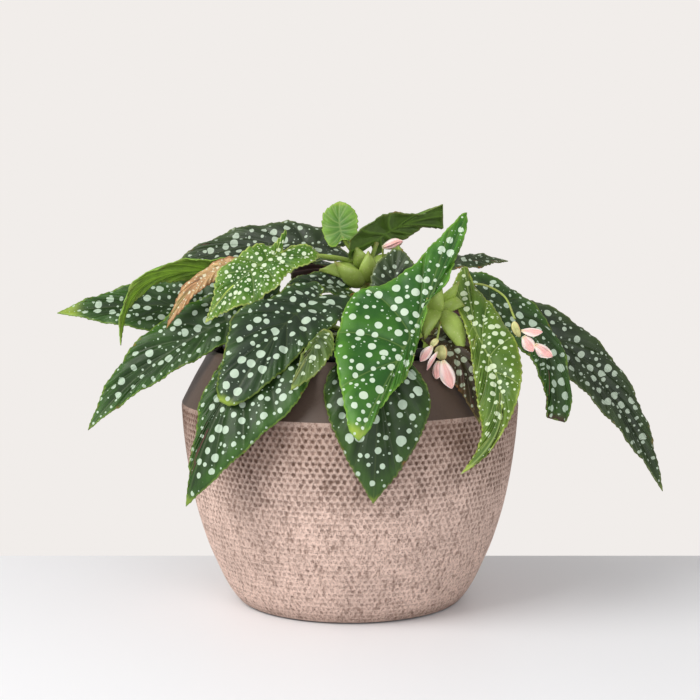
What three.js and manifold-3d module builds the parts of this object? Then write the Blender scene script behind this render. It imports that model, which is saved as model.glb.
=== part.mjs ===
// A cane begonia with spotted angel-wing leaves, growing in a nursery pot that stands inside
// a dimpled ceramic planter. Millimetres, +Z up. The origin is the middle of the planter's
// flat underside, and the plant's best side faces -Y.

import * as THREE from 'three';
import { mergeVertices } from 'three/addons/utils/BufferGeometryUtils.js';
import Module from 'manifold-3d';

const wasm = await Module();
wasm.setup();

// ---------- driving dimensions ----------

const POT_FOOT_RADIUS = 82;
const POT_BELLY_RADIUS = 130;
const POT_BELLY_HEIGHT = 155;
const POT_RIM_RADIUS = 110;
const POT_HEIGHT = 195;
const POT_WALL = 7;
const POT_FLOOR = 9;

const LINER_FOOT_RADIUS = 70;
const LINER_MOUTH_RADIUS = 95;
const LINER_RIM_WIDTH = 3;
const LINER_RIM_DEPTH = 9;
const LINER_WALL = 1.6;
const LINER_TOP = 203;
const LINER_FLOOR = 3;

const SOIL_TOP = 182;
const SOIL_ROOT_DEPTH = 70;

const BLADE_THICKNESS = 1.2;
const BLADE_RINGS = 3;
const BLADE_RIM_POINTS = 24;
const CANE_RADIUS = 4.6;
const PETIOLE_RADIUS = 1.9;
const STALK_STOP = 2.2;
const FLOWER_STALK_RADIUS = 0.9;
const FIT_GAP = 0.3;

const ROUND_SEGMENTS = 40;

// Where each cane leaves the soil, and its top.
const CANES = {
  cane_centre: { foot: [8, 22], top: [14, 26, 258] },
  cane_right: { foot: [58, -34], top: [66, -42, 236] },
  cane_left: { foot: [-42, 4], top: [-50, 2, 228] },
  cane_rear: { foot: [24, 60], top: [26, 72, 240] },
};

// Each leaf blade. base is where the stalk meets it, bend (one or two points) steers its
// midrib, tip is its point, and face is the way its upper side looks at the base. left and
// right are its two halves, seen from above with the tip away: [half width, where it is
// widest as a share of the length, how far its lobe reaches behind the stalk, how far out
// the lobe's end lies and how full the half is at its base, both as shares of the width].
// A leaf with an ear gives its whole rim instead, from the tip round by the right: points
// [along the midrib, out to the right]. fold lifts the [left, right] half in degrees, and
// twist turns the tip about the midrib.
const LEAVES = {
  leaf_left_low: {
    cane: 'cane_left', base: [-90, 30, 224], bend: [[-165, 20, 230]], tip: [-229, 15, 221],
    face: [0.1, -0.75, 0.65], left: [30, 0.3, 18], right: [24, 0.3, 18],
  },
  leaf_left_top: {
    cane: 'cane_centre', base: [-14, 42, 272], bend: [[-80, 52, 282]], tip: [-148, 42, 252],
    face: [-0.1, -0.62, 0.78], left: [30, 0.4, 16], right: [22, 0.4, 14],
  },
  leaf_left_folded: {
    cane: 'cane_left', base: [-70, 10, 254], bend: [[-140, 4, 258], [-176, 0, 256]],
    tip: [-176, -12, 198], face: [0, 0.6, 0.8], left: [14, 0.3, 10], right: [14, 0.3, 10],
    finish: 'young_blade',
  },
  leaf_young_left: {
    cane: 'cane_centre', base: [-51, -32, 270], bend: [[-84, -52, 256]], tip: [-107, -54, 219],
    face: [-0.2, -0.8, 0.6], fold: [6, 6], finish: 'young_blade',
    rim: [
      [71, 3], [59, 9], [50, 15], [42, 19], [32, 18], [16, 17], [9, 16], [3, 11], [-10, 15],
      [-16, 17], [-6, 8], [-3, 1], [-11, 1], [-18, -2], [-23, -9], [-22, -16], [-13, -22],
      [6, -20], [14, -22], [24, -27], [36, -25], [45, -25], [52, -20], [62, -12], [75, -4],
    ],
  },
  leaf_dried: {
    cane: 'cane_left', base: [-86, -26, 262], bend: [[-118, -30, 256]], tip: [-138, -34, 213],
    face: [-0.3, -0.8, 0.5], left: [7, 0.4, 5], right: [7, 0.4, 5], finish: 'dry_blade',
  },
  leaf_left_middle: {
    cane: 'cane_left', base: [-68, -22, 228], bend: [[-147, -35, 202]], tip: [-197, -42, 137],
    face: [-0.2, -0.8, 0.55], left: [21, 0.3, 20], right: [27, 0.35, 20],
  },
  leaf_centre_left: {
    cane: 'cane_centre', base: [-22, -55, 239], bend: [[-55, -104, 222]], tip: [-85, -121, 166],
    face: [-0.2, -0.85, 0.5], fold: [3, 3],
    rim: [
      [120, 8], [107, 17], [87, 24], [71, 31], [60, 37], [50, 35], [23, 24], [0, 22],
      [-14, 14], [-8, 3], [-2, 0], [-8, -3], [-16, -12], [-14, -20], [2, -24], [20, -29],
      [60, -25], [87, -20], [103, -14], [115, -7],
    ],
  },
  leaf_centre_small: {
    cane: 'cane_centre', base: [-18, -105, 218], bend: [[-24, -124, 213]], tip: [-41, -136, 179],
    face: [-0.1, -0.85, 0.5], fold: [4, 4],
    rim: [
      [48, 2], [36, 3], [20, 4], [8, 3], [1, 1], [-1, 0], [1, -2], [6, -8], [14, -13],
      [26, -14], [38, -12], [47, -7],
    ],
  },
  leaf_front_left: {
    cane: 'cane_centre', base: [-34, -64, 223], bend: [[-90, -118, 200]], tip: [-116, -118, 94],
    face: [-0.3, -0.85, 0.45],
    rim: [
      [156, 3], [143, 6], [126, 9], [109, 14], [94, 18], [79, 19], [50, 17], [20, 16],
      [-6, 12], [-12, 7], [-3, 0], [-6, -7], [10, -22], [30, -40], [58, -52], [74, -53],
      [89, -48], [105, -41], [120, -33], [138, -23], [156, -11],
    ],
  },
  leaf_front_bright: {
    cane: 'cane_right', base: [55, -88, 238], bend: [[46, -101, 213], [18, -150, 180]],
    tip: [6, -159, 147], face: [-0.05, -0.9, 0.4], fold: [-12, 0],
    rim: [
      [122, 8], [109, 17], [97, 25], [76, 39], [66, 45], [46, 49], [32, 52], [12, 51], [3, 42],
      [-3, 34], [-15, 24], [-27, 15], [-41, 11], [-51, 5], [-65, -1], [-78, -7], [-57, -12],
      [-35, -10], [-17, -10], [-2, -2], [12, -3], [24, -4], [44, -8], [68, -10], [85, -7],
      [100, -4], [115, -4],
    ],
  },
  leaf_front_right: {
    cane: 'cane_right', base: [88, -76, 221], bend: [[99, -108, 194], [128, -137, 160]],
    tip: [76, -144, 122], face: [0.1, -0.9, 0.4], fold: [4, 4], twist: 20, finish: 'young_blade',
    rim: [
      [121, 4], [107, 7], [86, 15], [61, 17], [38, 13], [22, 9], [7, 6], [-8, 5], [-26, 5],
      [-40, 1], [-52, -6], [-58, -13], [-38, -14], [-22, -18], [2, -22], [30, -23], [50, -19],
      [67, -13], [83, -7], [98, -4], [111, -3], [122, -2],
    ],
  },
  leaf_front_low: {
    cane: 'cane_centre', base: [18, -72, 219], bend: [[22, -144, 210]], tip: [16, -139, 100],
    face: [0, -0.85, 0.5], fold: [-10, -4],
    left: [37, 0.5, 10, 0.42, 0.35], right: [38, 0.45, 12, 0.42, 0.4],
  },
  leaf_right_shaded: {
    cane: 'cane_right', base: [62, -58, 210], bend: [[82, -92, 214]], tip: [93, -98, 150],
    face: [0.3, -0.8, 0.5], left: [16, 0.35, 10], right: [16, 0.35, 10],
  },
  leaf_right: {
    cane: 'cane_right', base: [97, -20, 240], bend: [[165, -28, 208]], tip: [154, -45, 145],
    face: [0.2, -0.7, 0.7], fold: [5, 5],
    rim: [
      [128, 7], [118, 10], [90, 14], [60, 20], [30, 22], [0, 19], [-16, 9], [-6, 1],
      [-8, -6], [-18, -12], [0, -20], [40, -20], [80, -15], [114, -12], [128, -6],
    ],
  },
  leaf_far_right: {
    cane: 'cane_rear', base: [118, 34, 220], bend: [[200, 26, 200]], tip: [246, 8, 81],
    face: [0.3, -0.75, 0.6], left: [23, 0.35, 20], right: [25, 0.35, 20],
  },
  leaf_centre_back: {
    cane: 'cane_right', base: [32, -30, 234], bend: [[34, -20, 258]], tip: [37, -14, 275],
    face: [0, -0.95, 0.3], left: [18, 0.35, 8], right: [20, 0.35, 8],
  },
  leaf_right_back: {
    cane: 'cane_rear', base: [72, 78, 256], bend: [[105, 100, 260]], tip: [134, 122, 257],
    face: [0, -0.5, 0.85], left: [12, 0.35, 8], right: [12, 0.35, 8],
  },
  leaf_top_young: {
    cane: 'cane_centre', base: [-6, 14, 281], bend: [[-10, 18, 292]], tip: [-8, 26, 308],
    face: [-0.2, -0.92, 0.3], fold: [10, 10], finish: 'young_blade',
    rim: [[26, 8], [18, 14], [4, 14], [-8, 8], [-3, -1], [-6, -10], [4, -14], [18, -13], [26, -6]],
  },
  leaf_top: {
    cane: 'cane_centre', base: [20, 22, 276], bend: [[34, 24, 292]], tip: [73, 26, 297],
    face: [-0.4, 0.65, 0.65], fold: [0, 0],
    rim: [
      [62, 12], [44, 7], [30, 12], [10, 24], [-12, 26], [-24, 12], [-4, 1], [-10, -8],
      [8, -14], [30, -14], [44, -10], [58, -14],
    ],
  },
  leaf_centre_flat: {
    cane: 'cane_centre', base: [-4, -4, 241], bend: [[-30, -10, 248]], tip: [-52, -15, 240],
    face: [0, -0.35, 0.93], left: [22, 0.35, 6], right: [20, 0.35, 6],
  },
  leaf_rear_left: {
    cane: 'cane_left', base: [-62, 60, 226], bend: [[-100, 98, 228]], tip: [-126, 118, 180],
    face: [-0.4, 0.6, 0.7], left: [28, 0.35, 18], right: [28, 0.35, 18],
  },
  leaf_rear_left_low: {
    cane: 'cane_rear', base: [-34, 88, 214], bend: [[-58, 158, 205]], tip: [-70, 160, 130],
    face: [-0.3, 0.75, 0.6], left: [34, 0.35, 20], right: [34, 0.35, 20],
  },
  leaf_rear_centre: {
    cane: 'cane_rear', base: [24, 104, 226], bend: [[30, 168, 222]], tip: [30, 164, 118],
    face: [0, 0.75, 0.6], left: [38, 0.35, 22], right: [36, 0.35, 22],
  },
  leaf_rear_right: {
    cane: 'cane_rear', base: [78, 88, 218], bend: [[122, 148, 212]], tip: [118, 150, 138],
    face: [0.4, 0.65, 0.6], left: [30, 0.35, 20], right: [30, 0.35, 20],
  },
  leaf_rear_high: {
    cane: 'cane_rear', base: [4, 78, 250], bend: [[-24, 118, 262]], tip: [-48, 150, 222],
    face: [-0.2, 0.35, 0.9], left: [28, 0.35, 16], right: [28, 0.35, 16],
  },
};

// Each flower stalk is a run of points from the cane it grows on.
const FLOWER_STALKS = {
  flower_stalk_front: [[68, -48, 222], [66, -66, 222], [64, -84, 216], [62, -93, 209]],
  flower_stalk_right: [[72, -38, 234], [92, -44, 247], [112, -60, 240], [119, -80, 224]],
  flower_stalk_top: [[20, 18, 250], [25, 12, 263], [25.5, 7, 273]],
};

// Each ovary, bud or petal: middle, the way it points, the way it faces, and its
// [length, width, thickness].
const FLOWERS = {
  flower_front_ovary: { at: [66, -96, 201], along: [0.1, 0, -1], face: [0, -1, 0], size: [10, 13, 7] },
  flower_front_petal_left: {
    at: [63, -99, 190], along: [-0.1, -0.1, -1], face: [-0.4, -1, 0], size: [11, 8, 2],
  },
  flower_front_petal_right: {
    at: [69.5, -102, 185.5], along: [0.35, -0.1, -1], face: [0.2, -1, 0], size: [19, 10, 2.2],
  },
  flower_side_ovary: { at: [60, -100, 208], along: [-0.7, 0, -0.7], face: [0, -1, 0.1], size: [7, 6, 5] },
  flower_side_petal_outer: {
    at: [53.5, -103, 200], along: [-0.65, -0.1, -0.75], face: [0.3, -1, 0.2], size: [12, 6, 1.8],
  },
  flower_side_petal_inner: {
    at: [57.5, -101, 196], along: [-0.55, 0, -0.85], face: [0.7, -0.7, 0.2], size: [13, 3, 1.6],
  },
  flower_right_ovary: {
    at: [120, -86, 217], along: [0.35, -0.1, -0.9], face: [0, -1, 0], size: [11, 7, 6],
  },
  flower_right_petal_top: {
    at: [131.5, -92, 215.5], along: [1, -0.05, -0.12], face: [0, -0.8, 0.6], size: [13.5, 6.5, 1.8],
  },
  flower_right_petal_middle: {
    at: [128.5, -92, 207], along: [0.5, -0.05, -0.85], face: [0, -1, 0.1], size: [11, 8, 1.8],
  },
  flower_right_petal_low: {
    at: [139, -93, 201.5], along: [0.75, -0.05, -0.65], face: [0, -0.9, 0.4], size: [13, 7.5, 4],
  },
  flower_top_bud: { at: [33, 5, 275], along: [0.95, -0.1, 0.3], face: [0, -1, 0], size: [14, 7, 5] },
};

// ---------- colours ----------

const COLOURS = {
  ceramic: { color: 0xb59487, roughness: 0.85, metalness: 0 },
  liner: { color: 0x101112, roughness: 0.45, metalness: 0 },
  soil: { color: 0x3a2a1f, roughness: 1, metalness: 0 },
  stem: { color: 0x7f9a3c, roughness: 0.5, metalness: 0 },
  blade: { color: 0x2f5a2a, roughness: 0.4, metalness: 0 },
  young_blade: { color: 0x76a02c, roughness: 0.4, metalness: 0 },
  dry_blade: { color: 0xc0a068, roughness: 0.8, metalness: 0 },
  petal: { color: 0xe9b4ae, roughness: 0.45, metalness: 0 },
};

const plant = new THREE.Group();

function addPart(name, geometry, finish) {
  const mesh = new THREE.Mesh(geometry, new THREE.MeshStandardMaterial(COLOURS[finish]));
  mesh.name = name;
  plant.add(mesh);
  return mesh;
}

// ---------- solids and booleans ----------

function toSolid(geometry) {
  const bare = geometry.clone();
  bare.deleteAttribute('normal');
  bare.deleteAttribute('uv');
  const welded = mergeVertices(bare);
  return new wasm.Manifold(new wasm.Mesh({
    numProp: 3,
    vertProperties: Float32Array.from(welded.attributes.position.array),
    triVerts: Uint32Array.from(welded.index.array),
  }));
}

function toGeometry(solid) {
  const mesh = solid.getMesh();
  const geometry = new THREE.BufferGeometry();
  geometry.setAttribute('position', new THREE.BufferAttribute(mesh.vertProperties, 3));
  geometry.setIndex(new THREE.BufferAttribute(mesh.triVerts, 1));
  geometry.computeVertexNormals();
  return geometry;
}

// A turned solid about +Z from [radius, height] points, given from the foot up the outside.
function turned(points, segments = ROUND_SEGMENTS) {
  const profile = points.map(([radius, height]) => new THREE.Vector2(radius, height));
  return new THREE.LatheGeometry(profile, segments).rotateX(Math.PI / 2);
}

function rod(curve, radius, steps, sides = 8) {
  const section = new THREE.Shape(
    Array.from({ length: sides }, (_, i) => {
      const angle = (2 * Math.PI * i) / sides;
      return new THREE.Vector2(radius * Math.cos(angle), radius * Math.sin(angle));
    }),
  );
  return new THREE.ExtrudeGeometry(section, { steps, extrudePath: curve, curveSegments: 1 });
}

// ---------- the planter, the nursery pot and the soil ----------

// The planter's outside from the foot to the belly, as [radius, height].
const POT_BODY = [
  [POT_FOOT_RADIUS + 5, 2], [92, 8], [98, 18], [104, 31], [110, 45], [115, 60],
  [119.5, 76], [123.5, 95], [126.5, 114], [128.8, 134], [POT_BELLY_RADIUS, POT_BELLY_HEIGHT - 3],
];

function planter() {
  const mouth = POT_RIM_RADIUS - POT_WALL;
  const inside = POT_BODY.filter(([, height]) => height > POT_FLOOR + POT_WALL)
    .filter((_, i) => i % 2 === 0).map(([radius, height]) => [radius - POT_WALL, height]);
  return turned([
    [0, 0], [POT_FOOT_RADIUS, 0], ...POT_BODY, [POT_BELLY_RADIUS - 1, POT_BELLY_HEIGHT + 2],
    [POT_RIM_RADIUS, POT_HEIGHT - 3], [POT_RIM_RADIUS - 2, POT_HEIGHT],
    [mouth + 1, POT_HEIGHT], [mouth, POT_HEIGHT - 3],
    ...inside.reverse(), [POT_FOOT_RADIUS - 4, POT_FLOOR], [0, POT_FLOOR],
  ]);
}

const LINER_BASE = POT_FLOOR + FIT_GAP;

function nurseryPot() {
  const inner = LINER_MOUTH_RADIUS - LINER_WALL;
  return turned([
    [0, LINER_BASE], [LINER_FOOT_RADIUS, LINER_BASE],
    [LINER_MOUTH_RADIUS, LINER_TOP - LINER_RIM_DEPTH],
    [LINER_MOUTH_RADIUS + LINER_RIM_WIDTH, LINER_TOP - LINER_RIM_DEPTH + 1],
    [LINER_MOUTH_RADIUS + LINER_RIM_WIDTH, LINER_TOP - 1], [LINER_MOUTH_RADIUS + 2, LINER_TOP],
    [LINER_MOUTH_RADIUS, LINER_TOP], [inner, LINER_TOP - 2],
    [inner, LINER_TOP - LINER_RIM_DEPTH],
    [LINER_FOOT_RADIUS - LINER_WALL, LINER_BASE + LINER_FLOOR], [0, LINER_BASE + LINER_FLOOR],
  ]);
}

// The soil fills the nursery pot and crowns slightly, with a socket for each cane's root.
function soil() {
  const bottom = LINER_BASE + LINER_FLOOR + FIT_GAP;
  const slope = (LINER_MOUTH_RADIUS - LINER_FOOT_RADIUS) / (LINER_TOP - LINER_RIM_DEPTH - LINER_BASE);
  const radiusAt = (z) => LINER_FOOT_RADIUS + slope * (z - LINER_BASE) - LINER_WALL - 0.9;
  let body = toSolid(turned([
    [0, bottom], [radiusAt(bottom) - 1, bottom], [radiusAt(SOIL_TOP - 4), SOIL_TOP - 4],
    [60, SOIL_TOP - 1], [0, SOIL_TOP],
  ]));
  for (const { foot } of Object.values(CANES)) {
    const socket = new THREE.CylinderGeometry(
      CANE_RADIUS + 3 * FIT_GAP, CANE_RADIUS + 3 * FIT_GAP, SOIL_ROOT_DEPTH, 12,
    ).rotateX(Math.PI / 2);
    socket.translate(foot[0], foot[1], SOIL_TOP - SOIL_ROOT_DEPTH / 2 + 2);
    body = body.subtract(toSolid(socket));
  }
  return toGeometry(body);
}

// ---------- leaves ----------

const vec = (point) => new THREE.Vector3(...point);

// The midrib of a leaf with the axes along, across and out of the blade at its base and tip.
function bladeFrame(leaf) {
  const ends = [leaf.base, ...leaf.bend, leaf.tip].map(vec);
  const Midrib = ends.length === 3 ? THREE.QuadraticBezierCurve3 : THREE.CubicBezierCurve3;
  const midrib = new Midrib(...ends);
  const twist = THREE.MathUtils.degToRad(leaf.twist ?? 0);
  const start = midrib.getTangent(0);
  const axesAt = (share) => {
    const along = midrib.getTangentAt(share);
    const turn = new THREE.Quaternion().setFromUnitVectors(start, along);
    const first = vec(leaf.face).addScaledVector(start, -vec(leaf.face).dot(start)).normalize();
    const out = first.applyQuaternion(turn).applyAxisAngle(along, twist * share);
    return { along, out, across: new THREE.Vector3().crossVectors(along, out).normalize() };
  };
  return { midrib, axesAt, length: midrib.getLength() };
}

// One half of a plain leaf's rim, from near the tip round to near the notch at the stalk.
function halfRim([width, widest, lobe, lobeOut = 0.42, fullness = 0.9], length) {
  const shoulder = widest * length;
  const rest = length - shoulder;
  return [
    [shoulder + 0.66 * rest, 0.5 * width], [shoulder + 0.33 * rest, 0.86 * width],
    [shoulder, width], [0.4 * (shoulder - lobe), fullness * width],
    [-lobe, lobeOut * width], [-0.5 * lobe, 0.2 * lobeOut * width],
  ];
}

// The flat outline of the blade, with a sharp corner at its tip.
function outline(leaf, length) {
  const mirrored = (points) => points.map(([u, v]) => [u, -v]).reverse();
  const plain = () => [
    ...halfRim(leaf.right, length), [-2, 0], ...mirrored(halfRim(leaf.left, length)),
  ];
  const corners = [[length, 0], ...(leaf.rim ?? plain()), [length, 0]];
  const curve = new THREE.CatmullRomCurve3(
    corners.map(([u, v]) => new THREE.Vector3(u, v, 0)), false, 'centripetal',
  );
  return curve.getSpacedPoints(BLADE_RIM_POINTS).slice(0, -1).map((p) => [p.x, p.y]);
}

// A closed thin shell over the flat outline, bent along the midrib and folded about it.
function blade(leaf) {
  const { axesAt, midrib, length } = bladeFrame(leaf);
  const [foldLeft, foldRight] = (leaf.fold ?? [12, 12]).map(THREE.MathUtils.degToRad);
  const place = (u, v, offset) => {
    const share = Math.min(Math.max(u / length, 0), 1);
    const { along, out, across } = axesAt(share);
    const fold = v < 0 ? foldLeft : foldRight;
    return midrib.getPointAt(share).addScaledVector(along, Math.min(u, 0))
      .addScaledVector(across, v * Math.cos(fold))
      .addScaledVector(out, Math.abs(v) * Math.sin(fold) + offset);
  };
  const rim = outline(leaf, length);
  const points = [];
  for (const side of [1, -1]) {
    const offset = (side * BLADE_THICKNESS) / 2;
    points.push(place(0, 0, offset));
    for (let ring = 1; ring <= BLADE_RINGS; ring++) {
      const share = ring / BLADE_RINGS;
      points.push(...rim.map(([u, v]) => place(u * share, v * share, offset)));
    }
  }
  return shell(points, rim.length, BLADE_RINGS);
}

// Joins two equal fans of rings, the upper first, into one closed body.
function shell(points, count, rings) {
  const half = 1 + count * rings;
  const at = (side, ring, i) => side * half + (ring === 0 ? 0 : 1 + (ring - 1) * count + (i % count));
  const faces = [];
  for (let i = 0; i < count; i++) {
    for (const side of [0, 1]) {
      const quads = [[at(side, 0, i), at(side, 1, i + 1), at(side, 1, i)]];
      for (let ring = 1; ring < rings; ring++) {
        quads.push([at(side, ring, i), at(side, ring + 1, i + 1), at(side, ring + 1, i)]);
        quads.push([at(side, ring, i), at(side, ring, i + 1), at(side, ring + 1, i + 1)]);
      }
      faces.push(...quads.map((face) => (side === 0 ? face : [face[0], face[2], face[1]])));
    }
    faces.push([at(0, rings, i), at(0, rings, i + 1), at(1, rings, i + 1)]);
    faces.push([at(0, rings, i), at(1, rings, i + 1), at(1, rings, i)]);
  }
  const geometry = new THREE.BufferGeometry().setFromPoints(points);
  geometry.setIndex(faces.flat());
  geometry.computeVertexNormals();
  return geometry;
}

// ---------- canes, each with the leaf stalks that grow from it ----------

function stalkCurve(from, leaf) {
  const { axesAt } = bladeFrame(leaf);
  const { along, out } = axesAt(0);
  const end = vec(leaf.base).addScaledVector(out, -(BLADE_THICKNESS / 2 + STALK_STOP));
  const reach = 0.35 * from.distanceTo(end);
  const entry = end.clone().addScaledVector(out, -reach * 0.4).addScaledVector(along, -reach * 0.6);
  const lift = from.clone().add(new THREE.Vector3(0, 0, reach * 0.6));
  return new THREE.CubicBezierCurve3(from, lift, entry, end);
}

function cane(name) {
  const { foot, top } = CANES[name];
  const root = new THREE.Vector3(foot[0], foot[1], SOIL_TOP - SOIL_ROOT_DEPTH / 2);
  const stem = new THREE.CatmullRomCurve3([
    root, new THREE.Vector3(foot[0], foot[1], SOIL_TOP - 8),
    new THREE.Vector3(foot[0], foot[1], SOIL_TOP + 8), vec(top),
  ]);
  let body = toSolid(rod(stem, CANE_RADIUS, 8, 8));
  for (const leaf of Object.values(LEAVES).filter((entry) => entry.cane === name)) {
    const height = THREE.MathUtils.clamp(0.55 + (leaf.base[2] - 205) / 120, 0.6, 0.97);
    const from = stem.getPoint(0.3 + 0.7 * height * height);
    body = body.add(toSolid(rod(stalkCurve(from, leaf), PETIOLE_RADIUS, 6, 6)));
  }
  return toGeometry(body);
}

// ---------- flowers ----------

function flowerStalk(points) {
  const curve = new THREE.CatmullRomCurve3(points.map(vec));
  return rod(curve, FLOWER_STALK_RADIUS, 4 * points.length, 6);
}

// A plump lens along its own length.
function petal({ at, along, face, size }) {
  const [length, width, thickness] = size;
  const lengthwise = vec(along).normalize();
  const sideways = new THREE.Vector3().crossVectors(lengthwise, vec(face)).normalize();
  const outward = new THREE.Vector3().crossVectors(sideways, lengthwise);
  const basis = new THREE.Matrix4().makeBasis(sideways, lengthwise, outward);
  return new THREE.SphereGeometry(0.5, 8, 6).scale(width, length, thickness)
    .applyMatrix4(basis).translate(...at);
}

// ---------- assembly ----------

addPart('ceramic_pot', planter(), 'ceramic');
addPart('nursery_pot', nurseryPot(), 'liner');
addPart('soil', soil(), 'soil');
for (const name of Object.keys(CANES)) addPart(name, cane(name), 'stem');
for (const [name, leaf] of Object.entries(LEAVES)) addPart(name, blade(leaf), leaf.finish ?? 'blade');
for (const [name, points] of Object.entries(FLOWER_STALKS)) addPart(name, flowerStalk(points), 'stem');
for (const [name, shape] of Object.entries(FLOWERS)) addPart(name, petal(shape), 'petal');

export default plant;
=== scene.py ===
"""Potted cane begonia: spotted leaves, canes and small pink flowers in a dimpled planter."""

import math
import random

import bpy
import numpy as np
from mathutils import Matrix, Vector


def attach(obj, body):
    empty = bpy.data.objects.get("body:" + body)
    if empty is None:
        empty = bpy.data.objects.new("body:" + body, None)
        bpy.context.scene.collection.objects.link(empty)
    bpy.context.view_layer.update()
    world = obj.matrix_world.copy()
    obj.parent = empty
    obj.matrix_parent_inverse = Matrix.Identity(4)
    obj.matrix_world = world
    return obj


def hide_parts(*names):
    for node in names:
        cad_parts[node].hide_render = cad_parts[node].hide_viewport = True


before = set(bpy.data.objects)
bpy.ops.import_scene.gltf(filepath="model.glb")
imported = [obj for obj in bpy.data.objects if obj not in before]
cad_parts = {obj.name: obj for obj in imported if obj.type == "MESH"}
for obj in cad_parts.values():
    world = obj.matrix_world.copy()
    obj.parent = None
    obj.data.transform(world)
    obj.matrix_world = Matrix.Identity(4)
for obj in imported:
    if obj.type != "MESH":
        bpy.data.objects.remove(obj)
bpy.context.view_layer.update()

bl_info = {
    "name": "Potted Cane Begonia",
    "version": (1, 0, 0),
    "blender": (4, 5, 0),
    "location": "View3D > Sidebar > Begonia",
    "description": "Models a spotted cane begonia in a nursery pot inside a dimpled planter",
    "category": "Object",
}

MM = 0.001


# ---------- sizes and colours ----------


def colour(red, green, blue):
    """A screen colour of 0 to 255 as the linear colour that a shader reads."""
    def linear(value):
        share = value / 255
        return share / 12.92 if share <= 0.04045 else ((share + 0.055) / 1.055) ** 2.4
    return (linear(red), linear(green), linear(blue))


def darker(tone, share):
    return tuple(part * share for part in tone)


def length(name, description, default):
    """A property in metres."""
    return bpy.props.FloatProperty(
        name=name, description=description, default=default, unit="LENGTH", precision=4
    )


def paint(name, description, default):
    """A colour property."""
    return bpy.props.FloatVectorProperty(
        name=name, description=description, default=default, subtype="COLOR", min=0, max=1
    )


class BegoniaPlanter(bpy.types.PropertyGroup):
    dimples: bpy.props.IntProperty(
        name="Dimples", description="Dimples in one row round the planter", default=163, min=40
    )
    rows: bpy.props.IntProperty(
        name="Rows", description="Rows of dimples up the planter", default=38, min=10
    )
    dimple_depth: length("Dimple Depth", "How deep the top rows are pressed", 1.4 * MM)
    body: paint("Body", "Fired clay of the dimpled body", colour(238, 208, 194))
    wash: paint("Wash", "Brown wash rubbed over the upper body", colour(106, 78, 62))
    # The shoulder's colour is set darker than the slip's own brown, as painted shade from the leaves
    # above it.
    shoulder: paint("Shoulder", "Smooth slip on the sloping shoulder", colour(86, 70, 60))
    liner: paint("Nursery Pot", "Plastic of the inner pot", colour(22, 23, 24))
    soil: paint("Soil", "Potting soil", colour(62, 46, 35))


class BegoniaLeaves(bpy.types.PropertyGroup):
    thickness: length("Thickness", "Thickness of a blade", 0.8 * MM)
    tooth: length("Tooth Height", "How far the small teeth stand out of the margin", 1.1 * MM)
    tooth_pitch: length("Tooth Pitch", "Distance between teeth", 5 * MM)
    quilt: length("Quilting", "How far the blade swells between its veins", 2.2 * MM)
    spot: paint("Spots", "Silvery spots of a mature leaf", colour(172, 197, 174))


class BegoniaStems(bpy.types.PropertyGroup):
    cane_radius: length("Cane Radius", "Radius of a cane between its nodes", 4.4 * MM)
    stalk_radius: length("Leaf Stalk Radius", "Radius of a leaf stalk", 1.8 * MM)
    green: paint("Green", "Young stem", colour(166, 192, 90))
    blush: paint("Blush", "Red flush at the nodes", colour(120, 62, 42))


class BegoniaFlowers(bpy.types.PropertyGroup):
    stalk_radius: length("Stalk Radius", "Radius of a flower stalk", 0.8 * MM)
    petal_thickness: length("Petal Thickness", "Thickness of a petal", 0.5 * MM)
    pink: paint("Pink", "Middle of a petal", colour(238, 178, 172))
    pale: paint("Pale Pink", "Rim of a petal", colour(252, 230, 224))
    ovary: paint("Ovary", "Winged ovary behind the petals", colour(206, 206, 138))


class BegoniaStage(bpy.types.PropertyGroup):
    camera_distance: length("Camera Distance", "Level distance from the planter's axis", 1.219)
    camera_height: length("Camera Height", "Height of the camera above the floor", 0.315)
    camera_pitch: bpy.props.FloatProperty(
        name="Camera Pitch", description="How far the camera looks down",
        default=math.radians(5.7), subtype="ANGLE",
    )
    lens: bpy.props.FloatProperty(
        name="Lens", description="Focal length on a 36 mm sensor", default=81.4, min=10
    )
    ambient: bpy.props.FloatProperty(
        name="Ambient", description="How strongly the backdrop lights the object",
        default=0.6, min=0, subtype="FACTOR",
    )
    floor_back: length("Floor Back Edge", "Where the floor ends behind the planter", 0.134)
    floor: paint("Floor", "Plain pale floor", colour(244, 246, 250))
    backdrop: paint("Backdrop", "Plain light behind the object", colour(241, 237, 234))


# ---------- measures shared with the frame, in millimetres ----------

SOIL_TOP = 182
CANES = {
    "cane_centre": {"foot": (8, 22), "top": (14, 26, 258)},
    "cane_right": {"foot": (58, -34), "top": (66, -42, 236)},
    "cane_left": {"foot": (-42, 4), "top": (-50, 2, 228)},
    "cane_rear": {"foot": (24, 60), "top": (26, 72, 240)},
}

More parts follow.
